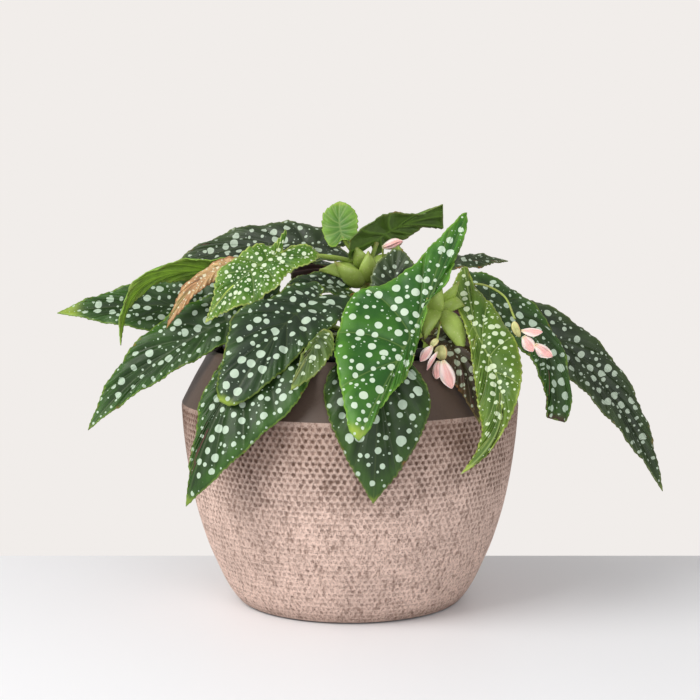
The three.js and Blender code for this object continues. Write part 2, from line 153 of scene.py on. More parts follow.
# base is where the stalk meets the blade, bend steers the midrib, tip is its point, and face
# is the way its upper side looks at the base. left and right are its halves: half width, where
# it is widest as a share of its length, how far its lobe reaches behind the stalk, and how far
# out the lobe ends and how full the half is at its base as shares of the width. rim is the
# outline of a leaf with an ear instead, from the tip round by the right. fold lifts the left
# and right half in degrees, twist turns the tip about the midrib, wave ruffles the margin and
# teeth scales its teeth. look names the finish, and point is the colour of the last pale_tip
# millimetres. cane is the cane that the leaf grows on.
LEAVES = {
    "leaf_left_low": dict(
        cane="cane_left", base=(-90, 30, 224), bend=[(-165, 20, 230)], tip=(-229, 15, 221),
        face=(0.1, -0.75, 0.65), left=(30, 0.3, 18), right=(24, 0.3, 18), look="mature",
        pale_tip=26,
    ),
    "leaf_left_top": dict(
        cane="cane_centre", base=(-14, 42, 272), bend=[(-80, 52, 282)], tip=(-148, 42, 252),
        face=(-0.1, -0.62, 0.78), left=(30, 0.4, 16), right=(22, 0.4, 14), look="grey",
    ),
    "leaf_left_folded": dict(
        cane="cane_left", base=(-70, 10, 254), bend=[(-140, 4, 258), (-176, 0, 256)],
        tip=(-176, -12, 198), face=(0, 0.6, 0.8), left=(14, 0.3, 10), right=(14, 0.3, 10),
        look="fresh",
    ),
    "leaf_young_left": dict(
        cane="cane_centre", base=(-51, -32, 270), bend=[(-84, -52, 256)], tip=(-107, -54, 219),
        face=(-0.2, -0.8, 0.6), fold=(6, 6), look="lime", wave=1.2, teeth=1.5,
        rim=[
            (71, 3), (59, 9), (50, 15), (42, 19), (32, 18), (16, 17), (9, 16), (3, 11),
            (-10, 15), (-16, 17), (-6, 8), (-3, 1), (-11, 1), (-18, -2), (-23, -9), (-22, -16),
            (-13, -22), (6, -20), (14, -22), (24, -27), (36, -25), (45, -25), (52, -20),
            (62, -12), (75, -4),
        ],
    ),
    "leaf_dried": dict(
        cane="cane_left", base=(-86, -26, 262), bend=[(-118, -30, 256)], tip=(-138, -34, 213),
        face=(-0.3, -0.8, 0.5), left=(7, 0.4, 5), right=(7, 0.4, 5), look="dried", wave=1.6,
    ),
    "leaf_left_middle": dict(
        cane="cane_left", base=(-68, -22, 228), bend=[(-147, -35, 202)], tip=(-197, -42, 137),
        face=(-0.2, -0.8, 0.55), left=(21, 0.3, 20), right=(27, 0.35, 20), look="mature",
        point=(66, 50, 34),
    ),
    "leaf_centre_left": dict(
        cane="cane_centre", base=(-22, -55, 239), bend=[(-55, -104, 222)], tip=(-85, -121, 166),
        face=(-0.2, -0.85, 0.5), fold=(3, 3), look="bluish",
        rim=[
            (120, 8), (107, 17), (87, 24), (71, 31), (60, 37), (50, 35), (23, 24), (0, 22),
            (-14, 14), (-8, 3), (-2, 0), (-8, -3), (-16, -12), (-14, -20), (2, -24), (20, -29),
            (60, -25), (87, -20), (103, -14), (115, -7),
        ],
    ),
    "leaf_centre_small": dict(
        cane="cane_centre", base=(-18, -105, 218), bend=[(-24, -124, 213)], tip=(-41, -136, 179),
        face=(-0.1, -0.85, 0.5), fold=(4, 4), look="faded",
        rim=[
            (48, 2), (36, 3), (20, 4), (8, 3), (1, 1), (-1, 0), (1, -2), (6, -8), (14, -13),
            (26, -14), (38, -12), (47, -7),
        ],
    ),
    "leaf_front_left": dict(
        cane="cane_centre", base=(-34, -64, 223), bend=[(-90, -118, 200)], tip=(-116, -118, 94),
        face=(-0.3, -0.85, 0.45), look="mature", fold=(12, -6),
        pale_tip=10,
        rim=[
            (156, 3), (143, 6), (126, 9), (109, 14), (94, 18), (79, 19), (50, 17), (20, 16),
            (-6, 12), (-12, 7), (-3, 0), (-6, -7), (10, -22), (30, -40), (58, -52), (74, -53),
            (89, -48), (105, -41), (120, -33), (138, -23), (156, -11),
        ],
    ),
    "leaf_front_bright": dict(
        cane="cane_right", base=(55, -88, 238), bend=[(46, -101, 213), (18, -150, 180)],
        tip=(6, -159, 147), face=(-0.05, -0.9, 0.4), fold=(-12, 0), look="bright",
        pale_tip=14,
        rim=[
            (122, 8), (109, 17), (97, 25), (76, 39), (66, 45), (46, 49), (32, 52), (12, 51),
            (3, 42), (-3, 34), (-15, 24), (-27, 15), (-41, 11), (-51, 5), (-65, -1), (-78, -7),
            (-57, -12), (-35, -10), (-17, -10), (-2, -2), (12, -3), (24, -4), (44, -8),
            (68, -10), (85, -7), (100, -4), (115, -4),
        ],
    ),
    "leaf_front_right": dict(
        cane="cane_right", base=(88, -76, 221), bend=[(99, -108, 194), (128, -137, 160)],
        tip=(76, -144, 122), face=(0.1, -0.9, 0.4), fold=(4, 4), twist=20, look="golden",
        pale_tip=16,
        rim=[
            (121, 4), (107, 7), (86, 15), (61, 17), (38, 13), (22, 9), (7, 6), (-8, 5), (-26, 5),
            (-40, 1), (-52, -6), (-58, -13), (-38, -14), (-22, -18), (2, -22), (30, -23),
            (50, -19), (67, -13), (83, -7), (98, -4), (111, -3), (122, -2),
        ],
    ),
    "leaf_front_low": dict(
        cane="cane_centre", base=(18, -72, 219), bend=[(22, -144, 210)], tip=(16, -139, 100),
        face=(0, -0.85, 0.5), fold=(-10, -4), left=(37, 0.5, 10, 0.42, 0.35),
        right=(38, 0.45, 12, 0.42, 0.4), look="deep",
    ),
    "leaf_right_shaded": dict(
        cane="cane_right", base=(62, -58, 210), bend=[(82, -92, 214)], tip=(93, -98, 150),
        face=(0.3, -0.8, 0.5), left=(16, 0.35, 10), right=(16, 0.35, 10), look="russet",
    ),
    "leaf_right": dict(
        cane="cane_right", base=(97, -20, 240), bend=[(165, -28, 208)], tip=(154, -45, 145),
        face=(0.2, -0.7, 0.7), fold=(5, 5), look="mature",
        point=(70, 48, 34),
        rim=[
            (128, 7), (118, 10), (90, 14), (60, 20), (30, 22), (0, 19), (-16, 9), (-6, 1),
            (-8, -6), (-18, -12), (0, -20), (40, -20), (80, -15), (114, -12), (128, -6),
        ],
    ),
    "leaf_far_right": dict(
        cane="cane_rear", base=(118, 34, 220), bend=[(200, 26, 200)], tip=(246, 8, 81),
        face=(0.3, -0.75, 0.6), left=(23, 0.35, 20), right=(25, 0.35, 20), look="grey",
    ),
    "leaf_centre_back": dict(
        cane="cane_right", base=(32, -30, 234), bend=[(34, -20, 258)], tip=(37, -14, 275),
        face=(0, -0.95, 0.3), left=(18, 0.35, 8), right=(20, 0.35, 8), look="grey",
    ),
    "leaf_right_back": dict(
        cane="cane_rear", base=(72, 78, 256), bend=[(105, 100, 260)], tip=(134, 122, 257),
        face=(0, -0.5, 0.85), left=(12, 0.35, 8), right=(12, 0.35, 8), look="grey",
    ),
    "leaf_top_young": dict(
        cane="cane_centre", base=(-6, 14, 281), bend=[(-10, 18, 292)], tip=(-8, 26, 308),
        face=(-0.2, -0.92, 0.3), fold=(10, 10), look="fresh",
        rim=[(26, 8), (18, 14), (4, 14), (-8, 8), (-3, -1), (-6, -10), (4, -14), (18, -13), (26, -6)],
    ),
    "leaf_top": dict(
        cane="cane_centre", base=(20, 22, 276), bend=[(34, 24, 292)], tip=(73, 26, 297),
        face=(-0.4, 0.65, 0.65), fold=(0, 0), look="topmost",
        rim=[
            (62, 12), (44, 7), (30, 12), (10, 24), (-12, 26), (-24, 12), (-4, 1), (-10, -8),
            (8, -14), (30, -14), (44, -10), (58, -14),
        ],
    ),
    "leaf_centre_flat": dict(
        cane="cane_centre", base=(-4, -4, 241), bend=[(-30, -10, 248)], tip=(-52, -15, 240),
        face=(0, -0.35, 0.93), left=(22, 0.35, 6), right=(20, 0.35, 6), look="bluish",
    ),
    "leaf_rear_left": dict(
        cane="cane_left", base=(-62, 60, 226), bend=[(-100, 98, 228)], tip=(-126, 118, 180),
        face=(-0.4, 0.6, 0.7), left=(28, 0.35, 18), right=(28, 0.35, 18), look="mature",
    ),
    "leaf_rear_left_low": dict(
        cane="cane_rear", base=(-34, 88, 214), bend=[(-58, 158, 205)], tip=(-70, 160, 130),
        face=(-0.3, 0.75, 0.6), left=(34, 0.35, 20), right=(34, 0.35, 20), look="bluish",
    ),
    "leaf_rear_centre": dict(
        cane="cane_rear", base=(24, 104, 226), bend=[(30, 168, 222)], tip=(30, 164, 118),
        face=(0, 0.75, 0.6), left=(38, 0.35, 22), right=(36, 0.35, 22), look="bright",
    ),
    "leaf_rear_right": dict(
        cane="cane_rear", base=(78, 88, 218), bend=[(122, 148, 212)], tip=(118, 150, 138),
        face=(0.4, 0.65, 0.6), left=(30, 0.35, 20), right=(30, 0.35, 20), look="mature",
    ),
    "leaf_rear_high": dict(
        cane="cane_rear", base=(4, 78, 250), bend=[(-24, 118, 262)], tip=(-48, 150, 222),
        face=(-0.2, 0.35, 0.9), left=(28, 0.35, 16), right=(28, 0.35, 16), look="bluish",
    ),
}

# The bracts that sheathe the top of each cane: base, tip, the way it faces, and its width.
BRACTS = {
    "cane_centre": [
        ((8, 14, 250), (-24, 8, 254), (-0.2, -0.8, 0.6), 17),
        ((10, 6, 244), (-12, -2, 262), (-0.4, -0.9, 0.2), 15),
        ((14, 8, 246), (14, 0, 270), (0.1, -1, 0.2), 16),
        ((16, 8, 246), (34, 0, 256), (0.4, -0.9, 0.2), 13),
        ((12, 16, 256), (4, 10, 274), (-0.3, -0.9, 0.3), 13),
        ((14, 16, 252), (25, 8, 246), (0.6, -0.8, 0.2), 12),
        ((16, 18, 256), (36, 12, 266), (0.1, -0.9, 0.5), 11),
    ],
    "cane_right": [
        ((58, -62, 228), (66, -74, 250), (0, -0.9, 0.5), 20),
        ((62, -62, 232), (54, -78, 208), (-0.3, -0.9, 0.2), 16),
        ((68, -62, 228), (84, -78, 196), (0.2, -0.95, 0.2), 16),
        ((70, -56, 232), (84, -64, 232), (0.4, -0.9, 0.4), 14),
        ((66, -50, 232), (80, -60, 250), (0.4, -0.9, 0.2), 10),
    ],
    "cane_left": [
        ((-50, 0, 226), (-62, -8, 240), (-0.3, -0.9, 0.3), 10),
        ((-48, 4, 226), (-42, 12, 242), (0.4, 0.8, 0.3), 10),
    ],
    "cane_rear": [
        ((26, 74, 238), (38, 80, 254), (0.5, 0.7, 0.3), 11),
        ((24, 72, 238), (14, 66, 252), (-0.6, -0.6, 0.4), 10),
    ],
}

FLOWER_STALKS = {
    "flower_stalk_front": [(68, -48, 222), (66, -66, 222), (64, -84, 216), (62, -93, 209)],
    "flower_stalk_right": [(72, -38, 234), (92, -44, 247), (112, -60, 240), (119, -80, 224)],
    "flower_stalk_top": [(20, 18, 250), (25, 12, 263), (25.5, 7, 273)],
}

# Middle, the way it points, the way it faces, and length, width and thickness.
OVARIES = {
    "flower_front_ovary": dict(
        at=(66, -96, 201), along=(0.1, 0, -1), face=(0, -1, 0), size=(11, 13, 8)
    ),
    "flower_side_ovary": dict(
        at=(60, -100, 208), along=(-0.7, 0, -0.7), face=(0, -1, 0.1), size=(8, 6.5, 5.5)
    ),
    "flower_right_ovary": dict(
        at=(120, -86, 217), along=(0.35, -0.1, -0.9), face=(0, -1, 0), size=(12, 8, 7)
    ),
}
PETALS = {
    "flower_front_petal_left": dict(
        at=(62.5, -100, 189), along=(-0.1, -0.1, -1), face=(-0.4, -1, 0), size=(13, 9, 2)
    ),
    "flower_front_petal_right": dict(
        at=(69, -102, 186), along=(0.3, -0.1, -1), face=(0.2, -1, 0), size=(21, 11, 2.2)
    ),
    "flower_side_petal_outer": dict(
        at=(54, -103, 201), along=(-0.65, -0.1, -0.75), face=(0.3, -1, 0.2), size=(14, 7, 1.8)
    ),
    "flower_side_petal_inner": dict(
        at=(58, -102, 196), along=(-0.55, 0, -0.85), face=(0.7, -0.7, 0.2), size=(15, 4, 1.6)
    ),
    "flower_right_petal_top": dict(
        at=(130, -92, 215.5), along=(1, -0.05, -0.12), face=(0, -0.8, 0.6), size=(15, 7, 1.8)
    ),
    "flower_right_petal_middle": dict(
        at=(127.5, -92, 207), along=(0.5, -0.05, -0.85), face=(0, -1, 0.1), size=(13, 9, 1.8)
    ),
    "flower_right_petal_low": dict(
        at=(138, -93, 202), along=(0.75, -0.05, -0.65), face=(0, -0.9, 0.4), size=(15, 9, 4)
    ),
    "flower_top_bud": dict(
        at=(33, 5, 275), along=(0.95, -0.1, 0.3), face=(0, -1, 0), size=(17, 8, 5)
    ),
}


# ---------- node graphs ----------


class Finish:
    """One procedural material, with short calls that add and link its nodes."""

    def __init__(self, name, **settings):
        self.material = bpy.data.materials.new(name)
        self.material.use_nodes = True
        self.tree = self.material.node_tree
        self.shader = self.tree.nodes["Principled BSDF"]
        for socket, value in settings.items():
            self.shader.inputs[socket.replace("_", " ")].default_value = value

    def plug(self, socket, value):
        if isinstance(value, bpy.types.NodeSocket):
            self.tree.links.new(value, socket)
        elif socket.type == "RGBA":
            socket.default_value = (*tuple(value)[:3], 1)
        else:
            socket.default_value = value

    def node(self, kind, inputs=(), **settings):
        made = self.tree.nodes.new("ShaderNode" + kind)
        for key, value in settings.items():
            setattr(made, key, value)
        for key, value in dict(inputs).items():
            self.plug(made.inputs[key], value)
        return made

    def math(self, operation, first, second=0.0):
        return self.node("Math", {0: first, 1: second}, operation=operation).outputs[0]

    def vector(self, operation, inputs):
        return self.node("VectorMath", inputs, operation=operation).outputs[0]

    def step(self, value, low, high, start=0.0, end=1.0):
        """start below low, end above high, and a soft step between them."""
        inputs = {"Value": value, "From Min": low, "From Max": high, "To Min": start, "To Max": end}
        return self.node("MapRange", inputs, interpolation_type="SMOOTHSTEP").outputs[0]

    def mix(self, share, first, second, blend="MIX"):
        made = self.node("Mix", data_type="RGBA", blend_type=blend)
        self.plug(made.inputs[0], share)
        self.plug(made.inputs[6], first)
        self.plug(made.inputs[7], second)
        return made.outputs[2]

    def noise(self, vector, scale, detail=2.0, rough=0.5):
        inputs = {"Vector": vector, "Scale": scale, "Detail": detail, "Roughness": rough}
        return self.node("TexNoise", inputs).outputs[0]

    def attribute(self, name):
        return self.node("Attribute", attribute_name=name).outputs["Fac"]

    def place(self):
        return self.node("TexCoord").outputs["Object"]

    def bump(self, height, distance, strength=1.0):
        made = self.node("Bump", {"Height": height, "Distance": distance, "Strength": strength})
        self.tree.links.new(made.outputs[0], self.shader.inputs["Normal"])

    def finish(self, base, rough=None):
        self.plug(self.shader.inputs["Base Color"], base)
        if rough is not None:
            self.plug(self.shader.inputs["Roughness"], rough)
        return self.material


# Each look: deep and fresh are the blade's colour at its middle and near its margin, rim the
# thin edge, spot its spots, size and share how large and how many they are, vein how strongly
# the pale veins show, and under the lower side.
LOOKS = {
    "mature": dict(deep=(31, 58, 18), fresh=(52, 92, 26), rim=(116, 146, 52)),
    "grey": dict(deep=(36, 50, 30), fresh=(56, 76, 40), rim=(108, 122, 70), spot=(158, 174, 156)),
    "bluish": dict(deep=(25, 46, 23), fresh=(42, 74, 26), rim=(112, 134, 52), size=1.08),
    "bright": dict(deep=(34, 86, 20), fresh=(72, 128, 30), rim=(122, 168, 56), under=(84, 124, 50),
                   spot=(204, 224, 200), vein=0.2),
    "deep": dict(deep=(29, 52, 17), fresh=(50, 82, 24), rim=(104, 124, 50), size=1.22),
    "faded": dict(deep=(52, 76, 28), fresh=(86, 114, 42), rim=(128, 142, 66),
                  spot=(186, 202, 164), size=0.8, vein=0.1, under=(84, 96, 52)),
    "russet": dict(deep=(52, 40, 26), fresh=(78, 60, 34), rim=(110, 92, 50),
                   spot=(140, 140, 104), size=0.85),
    "golden": dict(deep=(64, 98, 24), fresh=(96, 126, 34), rim=(162, 180, 78),
                   spot=(212, 226, 176), size=0.84, vein=0.5, under=(120, 140, 60)),
    "lime": dict(deep=(54, 98, 16), fresh=(92, 132, 30), rim=(184, 200, 108),
                 spot=(226, 238, 196), size=0.62, share=1.5, vein=0.25, under=(130, 150, 60)),
    "fresh": dict(deep=(84, 132, 44), fresh=(112, 156, 54), rim=(140, 176, 66),
                  spot=(196, 220, 180), share=0, vein=0.3, under=(128, 170, 44), ribs=0.25),
    "topmost": dict(deep=(58, 88, 36), fresh=(74, 104, 42), rim=(96, 124, 52),
                    spot=(150, 170, 120), vein=0.3, under=(88, 122, 38), ribs=0.35),
    "dried": dict(deep=(176, 128, 88), fresh=(206, 170, 118), rim=(156, 96, 62),
                  spot=(236, 214, 170), size=0.55, share=1.7, under=(170, 130, 90)),
}
UNDER_RED = (92, 42, 38)


# Spots per centimetre, largest radius in cells, share of cells with a spot, and how much of
# the radius is left near the margin.
SPOTS = [(1.02, 0.35, 0.88, 0.5), (1.8, 0.33, 0.66, 0.75), (3.4, 0.25, 0.3, 1.0)]
SMALLEST_SPOT = 0.5
MOST_SPOTS = 0.97
SPOT_SCATTER = 0.78
SPOT_CLEARANCE = 0.42
SPOT_SOFTNESS = 0.05


def spot_layers(made, flat, inside, look):
    """Round spots in three sizes, where a smaller one never lands on a larger one."""
    def nearest(vector, layer):
        """The nearest cell to each place, its spot's radius and whether it has a spot."""
        scale, radius, keep, _ = layer
        inputs = {"Vector": vector, "Scale": scale / look.get("size", 1), "Randomness": SPOT_SCATTER}
        cell = made.node("TexVoronoi", inputs, voronoi_dimensions="2D").outputs
        pick = made.node("SeparateColor", {0: cell["Color"]}).outputs
        grown = made.step(pick[0], 0, 1, radius * SMALLEST_SPOT, radius)
        kept = made.math("LESS_THAN", pick[1], min(keep * look.get("share", 1), MOST_SPOTS))
        return cell, grown, kept

    def inside_rim(vector, layer):
        """How far a place lies inside the rim of its nearest spot, in cells."""
        cell, grown, kept = nearest(vector, layer)
        return made.math("SUBTRACT", made.math("MULTIPLY", grown, kept), cell["Distance"])

    spots = 0.0
    for number, layer in enumerate(SPOTS):
        scale, *_, near_rim = layer
        cell, grown, kept = nearest(flat, layer)
        grown = made.math("MULTIPLY", grown, made.step(inside, 0, 1, near_rim, 1.0))
        for larger in SPOTS[:number]:
            depth = inside_rim(cell["Position"], larger)
            clear = made.math("LESS_THAN", depth, -SPOT_CLEARANCE * larger[0] / scale)
            kept = made.math("MULTIPLY", kept, clear)
        gap = made.math("SUBTRACT", grown, cell["Distance"])
        mask = made.math("MULTIPLY", made.step(gap, 0, SPOT_SOFTNESS * scale), kept)
        spots = made.math("MAXIMUM", spots, mask)
    return spots


def blade_finish(name, look, leaves, tip):
    """The upper side of a blade: round spots between the veins, a fresh edge, pale veins, and painted
    shade in the creases along the veins.
    """
    made = Finish(name, Roughness=0.4, Specular_IOR_Level=0.38)
    flat = made.node("UVMap", uv_map="flat").outputs[0]
    vein = made.attribute("vein")
    edge = made.attribute("edge")
    wobble = made.node("TexNoise", {"Vector": flat, "Scale": 1.6, "Detail": 2.0}).outputs[1]
    shift = made.vector("SUBTRACT", {0: wobble, 1: (0.5, 0.5, 0.5)})
    bent = made.vector("MULTIPLY_ADD", {0: shift, 1: (0.1, 0.1, 0), 2: flat})
    inside = made.step(edge, 2 * MM, 9 * MM)
    spots = spot_layers(made, bent, inside, look)
    mottle = made.noise(flat, 0.55, 3.0)
    fine = made.noise(flat, 14.0, 2.0)
    outward = made.step(edge, 0.5 * MM, 13 * MM, 0.85, 0.0)
    patchy = made.math("ADD", outward, made.step(mottle, 0.3, 0.7, -0.25, 0.4))
    tone = made.math("MULTIPLY", patchy, made.step(fine, 0.3, 0.7, 0.85, 1.1))
    base = made.mix(made.math("MAXIMUM", tone, 0.0), colour(*look["deep"]), colour(*look["fresh"]))
    paleness = made.step(made.attribute("pale"), 0, 1)
    base = made.mix(paleness, base, colour(*tip))
    line = made.step(vein, 0.15 * MM, 0.8 * MM, look.get("vein", 0.05), 0.0)
    base = made.mix(line, base, colour(168, 190, 104))
    # Darker along the veins: painted shade in the creases of the quilted blade.
    vein_crease_shade = made.step(vein, 0.5 * MM, 4 * MM, 0.22, 0.0)
    base = made.mix(vein_crease_shade, base, colour(24, 40, 18))
    core = made.step(spots, 0.3, 1.0)
    spot = colour(*look["spot"]) if "spot" in look else tuple(leaves.spot)
    tint = made.mix(made.noise(flat, 3.0), spot, colour(198, 215, 194))
    base = made.mix(made.math("MULTIPLY", core, 0.93), base, tint)
    ragged = made.math("ADD", edge, made.math("MULTIPLY", made.noise(flat, 4.0), -0.9 * MM))
    base = made.mix(made.step(ragged, 0.0, 1.0 * MM, 0.7, 0.0), base, colour(*look["rim"]))
    dry_rim = made.step(edge, 0.0, 2.2 * MM, 1.0, 0.0)
    scorch = made.math("MULTIPLY", dry_rim, made.step(made.noise(flat, 0.75, 3.0), 0.62, 0.7))
    base = made.mix(made.math("MULTIPLY", scorch, 0.8), base, colour(150, 96, 50))
    cells = made.node("TexVoronoi", {"Vector": flat, "Scale": 22.0}, voronoi_dimensions="2D")
    pebbled = made.math("MULTIPLY", cells.outputs["Distance"], 0.35)
    height = made.math("ADD", pebbled, made.math("MULTIPLY", core, -0.12))
    made.bump(made.math("ADD", height, made.math("MULTIPLY", mottle, 0.8)), 0.35 * MM, 0.6)
    rough = made.step(made.noise(flat, 1.2, 3.0), 0.3, 0.7, 0.34, 0.5)
    return made.finish(base, rough)


def underside_finish(name, look):
    """The lower side of a blade, dull, with its veins standing out."""
    made = Finish(name, Roughness=0.6)
    flat = made.node("UVMap", uv_map="flat").outputs[0]
    under = look.get("under", UNDER_RED)
    light = tuple(min(value * 1.35 + 12, 255) for value in under)
    shade = colour(*(value * 0.8 for value in under))
    base = made.mix(made.step(made.noise(flat, 0.9, 3.0), 0.3, 0.7), colour(*under), shade)
    line = made.step(made.attribute("vein"), 0.3 * MM, 1.4 * MM, look.get("ribs", 0.8), 0.0)
    base = made.mix(line, base, colour(*light))
    rim = made.step(made.attribute("edge"), 0.2 * MM, 2.0 * MM, 0.6, 0.0)
    base = made.mix(rim, base, colour(120, 128, 60))
    made.bump(made.math("ADD", made.noise(flat, 9.0), line), 0.3 * MM, 0.7)
    return made.finish(base)


def stem_finish(stems):
    """Green canes and stalks, flushed red by an attribute, with small pale flecks."""
    made = Finish("begonia_stem", Roughness=0.42)
    place = made.place()
    patchy = made.step(made.noise(place, 90.0, 3.0), 0.3, 0.7)
    green = tuple(stems.green)
    base = made.mix(patchy, darker(green, 0.78), green)
    patches = made.step(made.noise(place, 60.0), 0.55, 0.8, 0, 0.35)
    red = made.math("ADD", made.attribute("blush"), patches)
    base = made.mix(made.step(red, 0.15, 1.0, 0.0, 0.85), base, tuple(stems.blush))
    flecks = made.node("TexVoronoi", {"Vector": place, "Scale": 420.0})
    fleck = made.step(flecks.outputs["Distance"], 0.16, 0.24, 0.4, 0.0)
    base = made.mix(fleck, base, colour(206, 204, 150))
    made.bump(made.noise(place, 500.0, 2.0), 0.15 * MM, 0.5)
    return made.finish(base)


def petal_finish(flowers):
    """Waxy pink, paler towards the rim, with faint lengthwise streaks."""
    made = Finish("begonia_petal", Roughness=0.38, Subsurface_Weight=0.12, Subsurface_Scale=0.004)
    flat = made.node("UVMap", uv_map="flat").outputs[0]
    parts = made.node("SeparateXYZ", {0: flat}).outputs
    across = made.math("ABSOLUTE", made.math("SUBTRACT", parts[0], 0.5))
    along = parts[1]
    streaks = made.noise(made.vector("MULTIPLY", {0: flat, 1: (26, 1.5, 1)}), 1.0)
    lengthwise = made.step(along, 0.25, 0.9, 0.25, -0.15)
    share = made.math("ADD", made.step(across, 0.1, 0.5, 0.0, 0.7), lengthwise)
    share = made.math("ADD", share, made.step(streaks, 0.3, 0.7, -0.12, 0.2))
    base = made.mix(made.step(share, 0.0, 0.85), tuple(flowers.pink), tuple(flowers.pale))
    base = made.mix(made.step(along, 0.0, 0.22, 0.55, 0.0), base, tuple(flowers.ovary))
    made.bump(streaks, 0.2 * MM, 0.5)
    return made.finish(base)


def ovary_finish(flowers):
    """Yellow-green with a red line down each wing."""
    made = Finish("begonia_ovary", Roughness=0.4)
    wing = made.attribute("wing")
    place = made.place()
    green = tuple(flowers.ovary)
    base = made.mix(made.step(made.noise(place, 240.0), 0.3, 0.7), green, darker(green, 0.7))
    base = made.mix(made.step(wing, 0.75, 1.0, 0.0, 0.55), base, colour(196, 96, 80))
    return made.finish(base)


def body_finish(planter):
    """Dimpled clay: pinkish beige, upper part rubbed with brown, pits darkened partly by brown wash
    and partly by painted shade, ridges of the upper rows given a painted highlight, fine dark specks.
    """
    made = Finish("planter_clay", Roughness=0.82, Specular_IOR_Level=0.3)
    lattice = made.node("UVMap", uv_map="lattice").outputs[0]
    place = made.place()
    parts = made.node("SeparateXYZ", {0: lattice}).outputs
    height = made.node("SeparateXYZ", {0: place}).outputs[2]
    row = made.math("FLOOR", parts[1])
    half = made.math("MULTIPLY", made.math("MODULO", row, 2.0), 0.5)
    side = made.math("SUBTRACT", made.math("FRACT", made.math("ADD", parts[0], half)), 0.5)
    rise = made.math("SUBTRACT", made.math("FRACT", parts[1]), 0.5)
    narrow = made.math("MULTIPLY", side, made.step(rise, -0.5, 0.5, 1.6, 0.9))
    squares = [made.math("MULTIPLY", part, part) for part in (narrow, rise)]
    reach = made.math("SQRT", made.math("ADD", *squares))
    column = made.math("FLOOR", made.math("ADD", parts[0], half))
    cell = made.node("CombineXYZ", {0: column, 1: row}).outputs[0]
    chance = made.node("TexWhiteNoise", {"Vector": cell}, noise_dimensions="2D").outputs[0]
    gritty = made.math("SUBTRACT", made.noise(place, 520.0, 3.0), 0.5)
    uneven = made.math("ADD", reach, made.math("MULTIPLY", gritty, 0.7))
    hollow = made.step(uneven, 0.14, 0.48, 1.0, 0.0)
    pit = made.math("MULTIPLY", hollow, made.step(chance, 0, 1, 0.5, 1.0))
    ridge = made.step(uneven, 0.46, 0.66)
    upper = made.step(height, 55 * MM, 145 * MM)
    cloud = made.step(made.noise(place, 17.0, 4.0, 0.6), 0.42, 0.68)
    cloud = made.math("MULTIPLY", cloud, made.step(height, 70 * MM, 135 * MM, 0.12, 1.0))
    streaky = made.node("Mapping", {"Vector": place, "Scale": (1, 1, 0.35)}).outputs[0]
    mottle = made.noise(streaky, 300.0, 4.0, 0.7)
    body = tuple(planter.body)
    wash = tuple(planter.wash)
    base = made.mix(made.step(made.noise(place, 34.0, 3.0), 0.3, 0.7), body, darker(body, 0.86))
    base = made.mix(made.step(mottle, 0.48, 0.66, 0.0, 0.6), base, wash)
    base = made.mix(made.math("MULTIPLY", cloud, 0.62), base, wash)
    # Pits darker, more so in the upper rows: partly brown wash in the hollows, partly painted shade.
    depth = made.math("MULTIPLY", pit, made.step(upper, 0, 1, 0.25, 0.92))
    base = made.mix(depth, base, darker(wash, 0.72))
    # Ridges of the upper rows painted lighter: a painted highlight on the raised clay.
    ridge_highlight = made.math("MULTIPLY", ridge, made.step(upper, 0, 1, 0.2, 0.45))
    base = made.mix(ridge_highlight, base, colour(238, 216, 204))
    specks = made.step(made.noise(place, 800.0, 3.0, 0.8), 0.52, 0.64, 0.0, 0.7)
    base = made.mix(specks, base, colour(84, 62, 54))
    band = made.step(height, 84 * MM, 152 * MM, 0.0, 0.5)
    base = made.mix(band, base, wash)
    foot = made.step(height, 3 * MM, 14 * MM, 0.3, 0.0)
    base = made.mix(foot, base, wash)
    sand = made.math("MULTIPLY", made.noise(place, 700.0, 3.0, 0.7), 0.5)
    grain = made.math("ADD", sand, made.math("MULTIPLY", pit, -0.8))
    made.bump(grain, 1.3 * MM, 1.0)
    return made.finish(base)


def shoulder_finish(planter):
    """Smooth brown slip, set darker than its own colour as painted shade from the leaves above,
    slightly satin and a little cloudy.
    """
    made = Finish("planter_shoulder", Roughness=0.5, Specular_IOR_Level=0.4)
    place = made.place()
    cloudy = made.noise(place, 22.0, 4.0, 0.6)
    tone = tuple(planter.shoulder)
    base = made.mix(made.step(cloudy, 0.3, 0.7), darker(tone, 0.82), tone)
    specks = made.step(made.noise(place, 600.0), 0.64, 0.72, 0.0, 0.35)
    base = made.mix(specks, base, colour(60, 44, 40))
    made.bump(made.noise(place, 260.0, 3.0), 0.2 * MM, 0.5)
    return made.finish(base, made.step(cloudy, 0.3, 0.7, 0.42, 0.58))


def liner_finish(planter):
    """Black moulded plastic with a faint grain and dust."""
    made = Finish("nursery_plastic", Roughness=0.4)
    place = made.place()
    dust = made.step(made.noise(place, 60.0, 4.0, 0.7), 0.5, 0.8, 0.0, 0.35)
    base = made.mix(dust, tuple(planter.liner), colour(70, 62, 54))
    made.bump(made.noise(place, 800.0), 0.05 * MM, 0.6)
    return made.finish(base, made.step(dust, 0, 0.35, 0.36, 0.7))


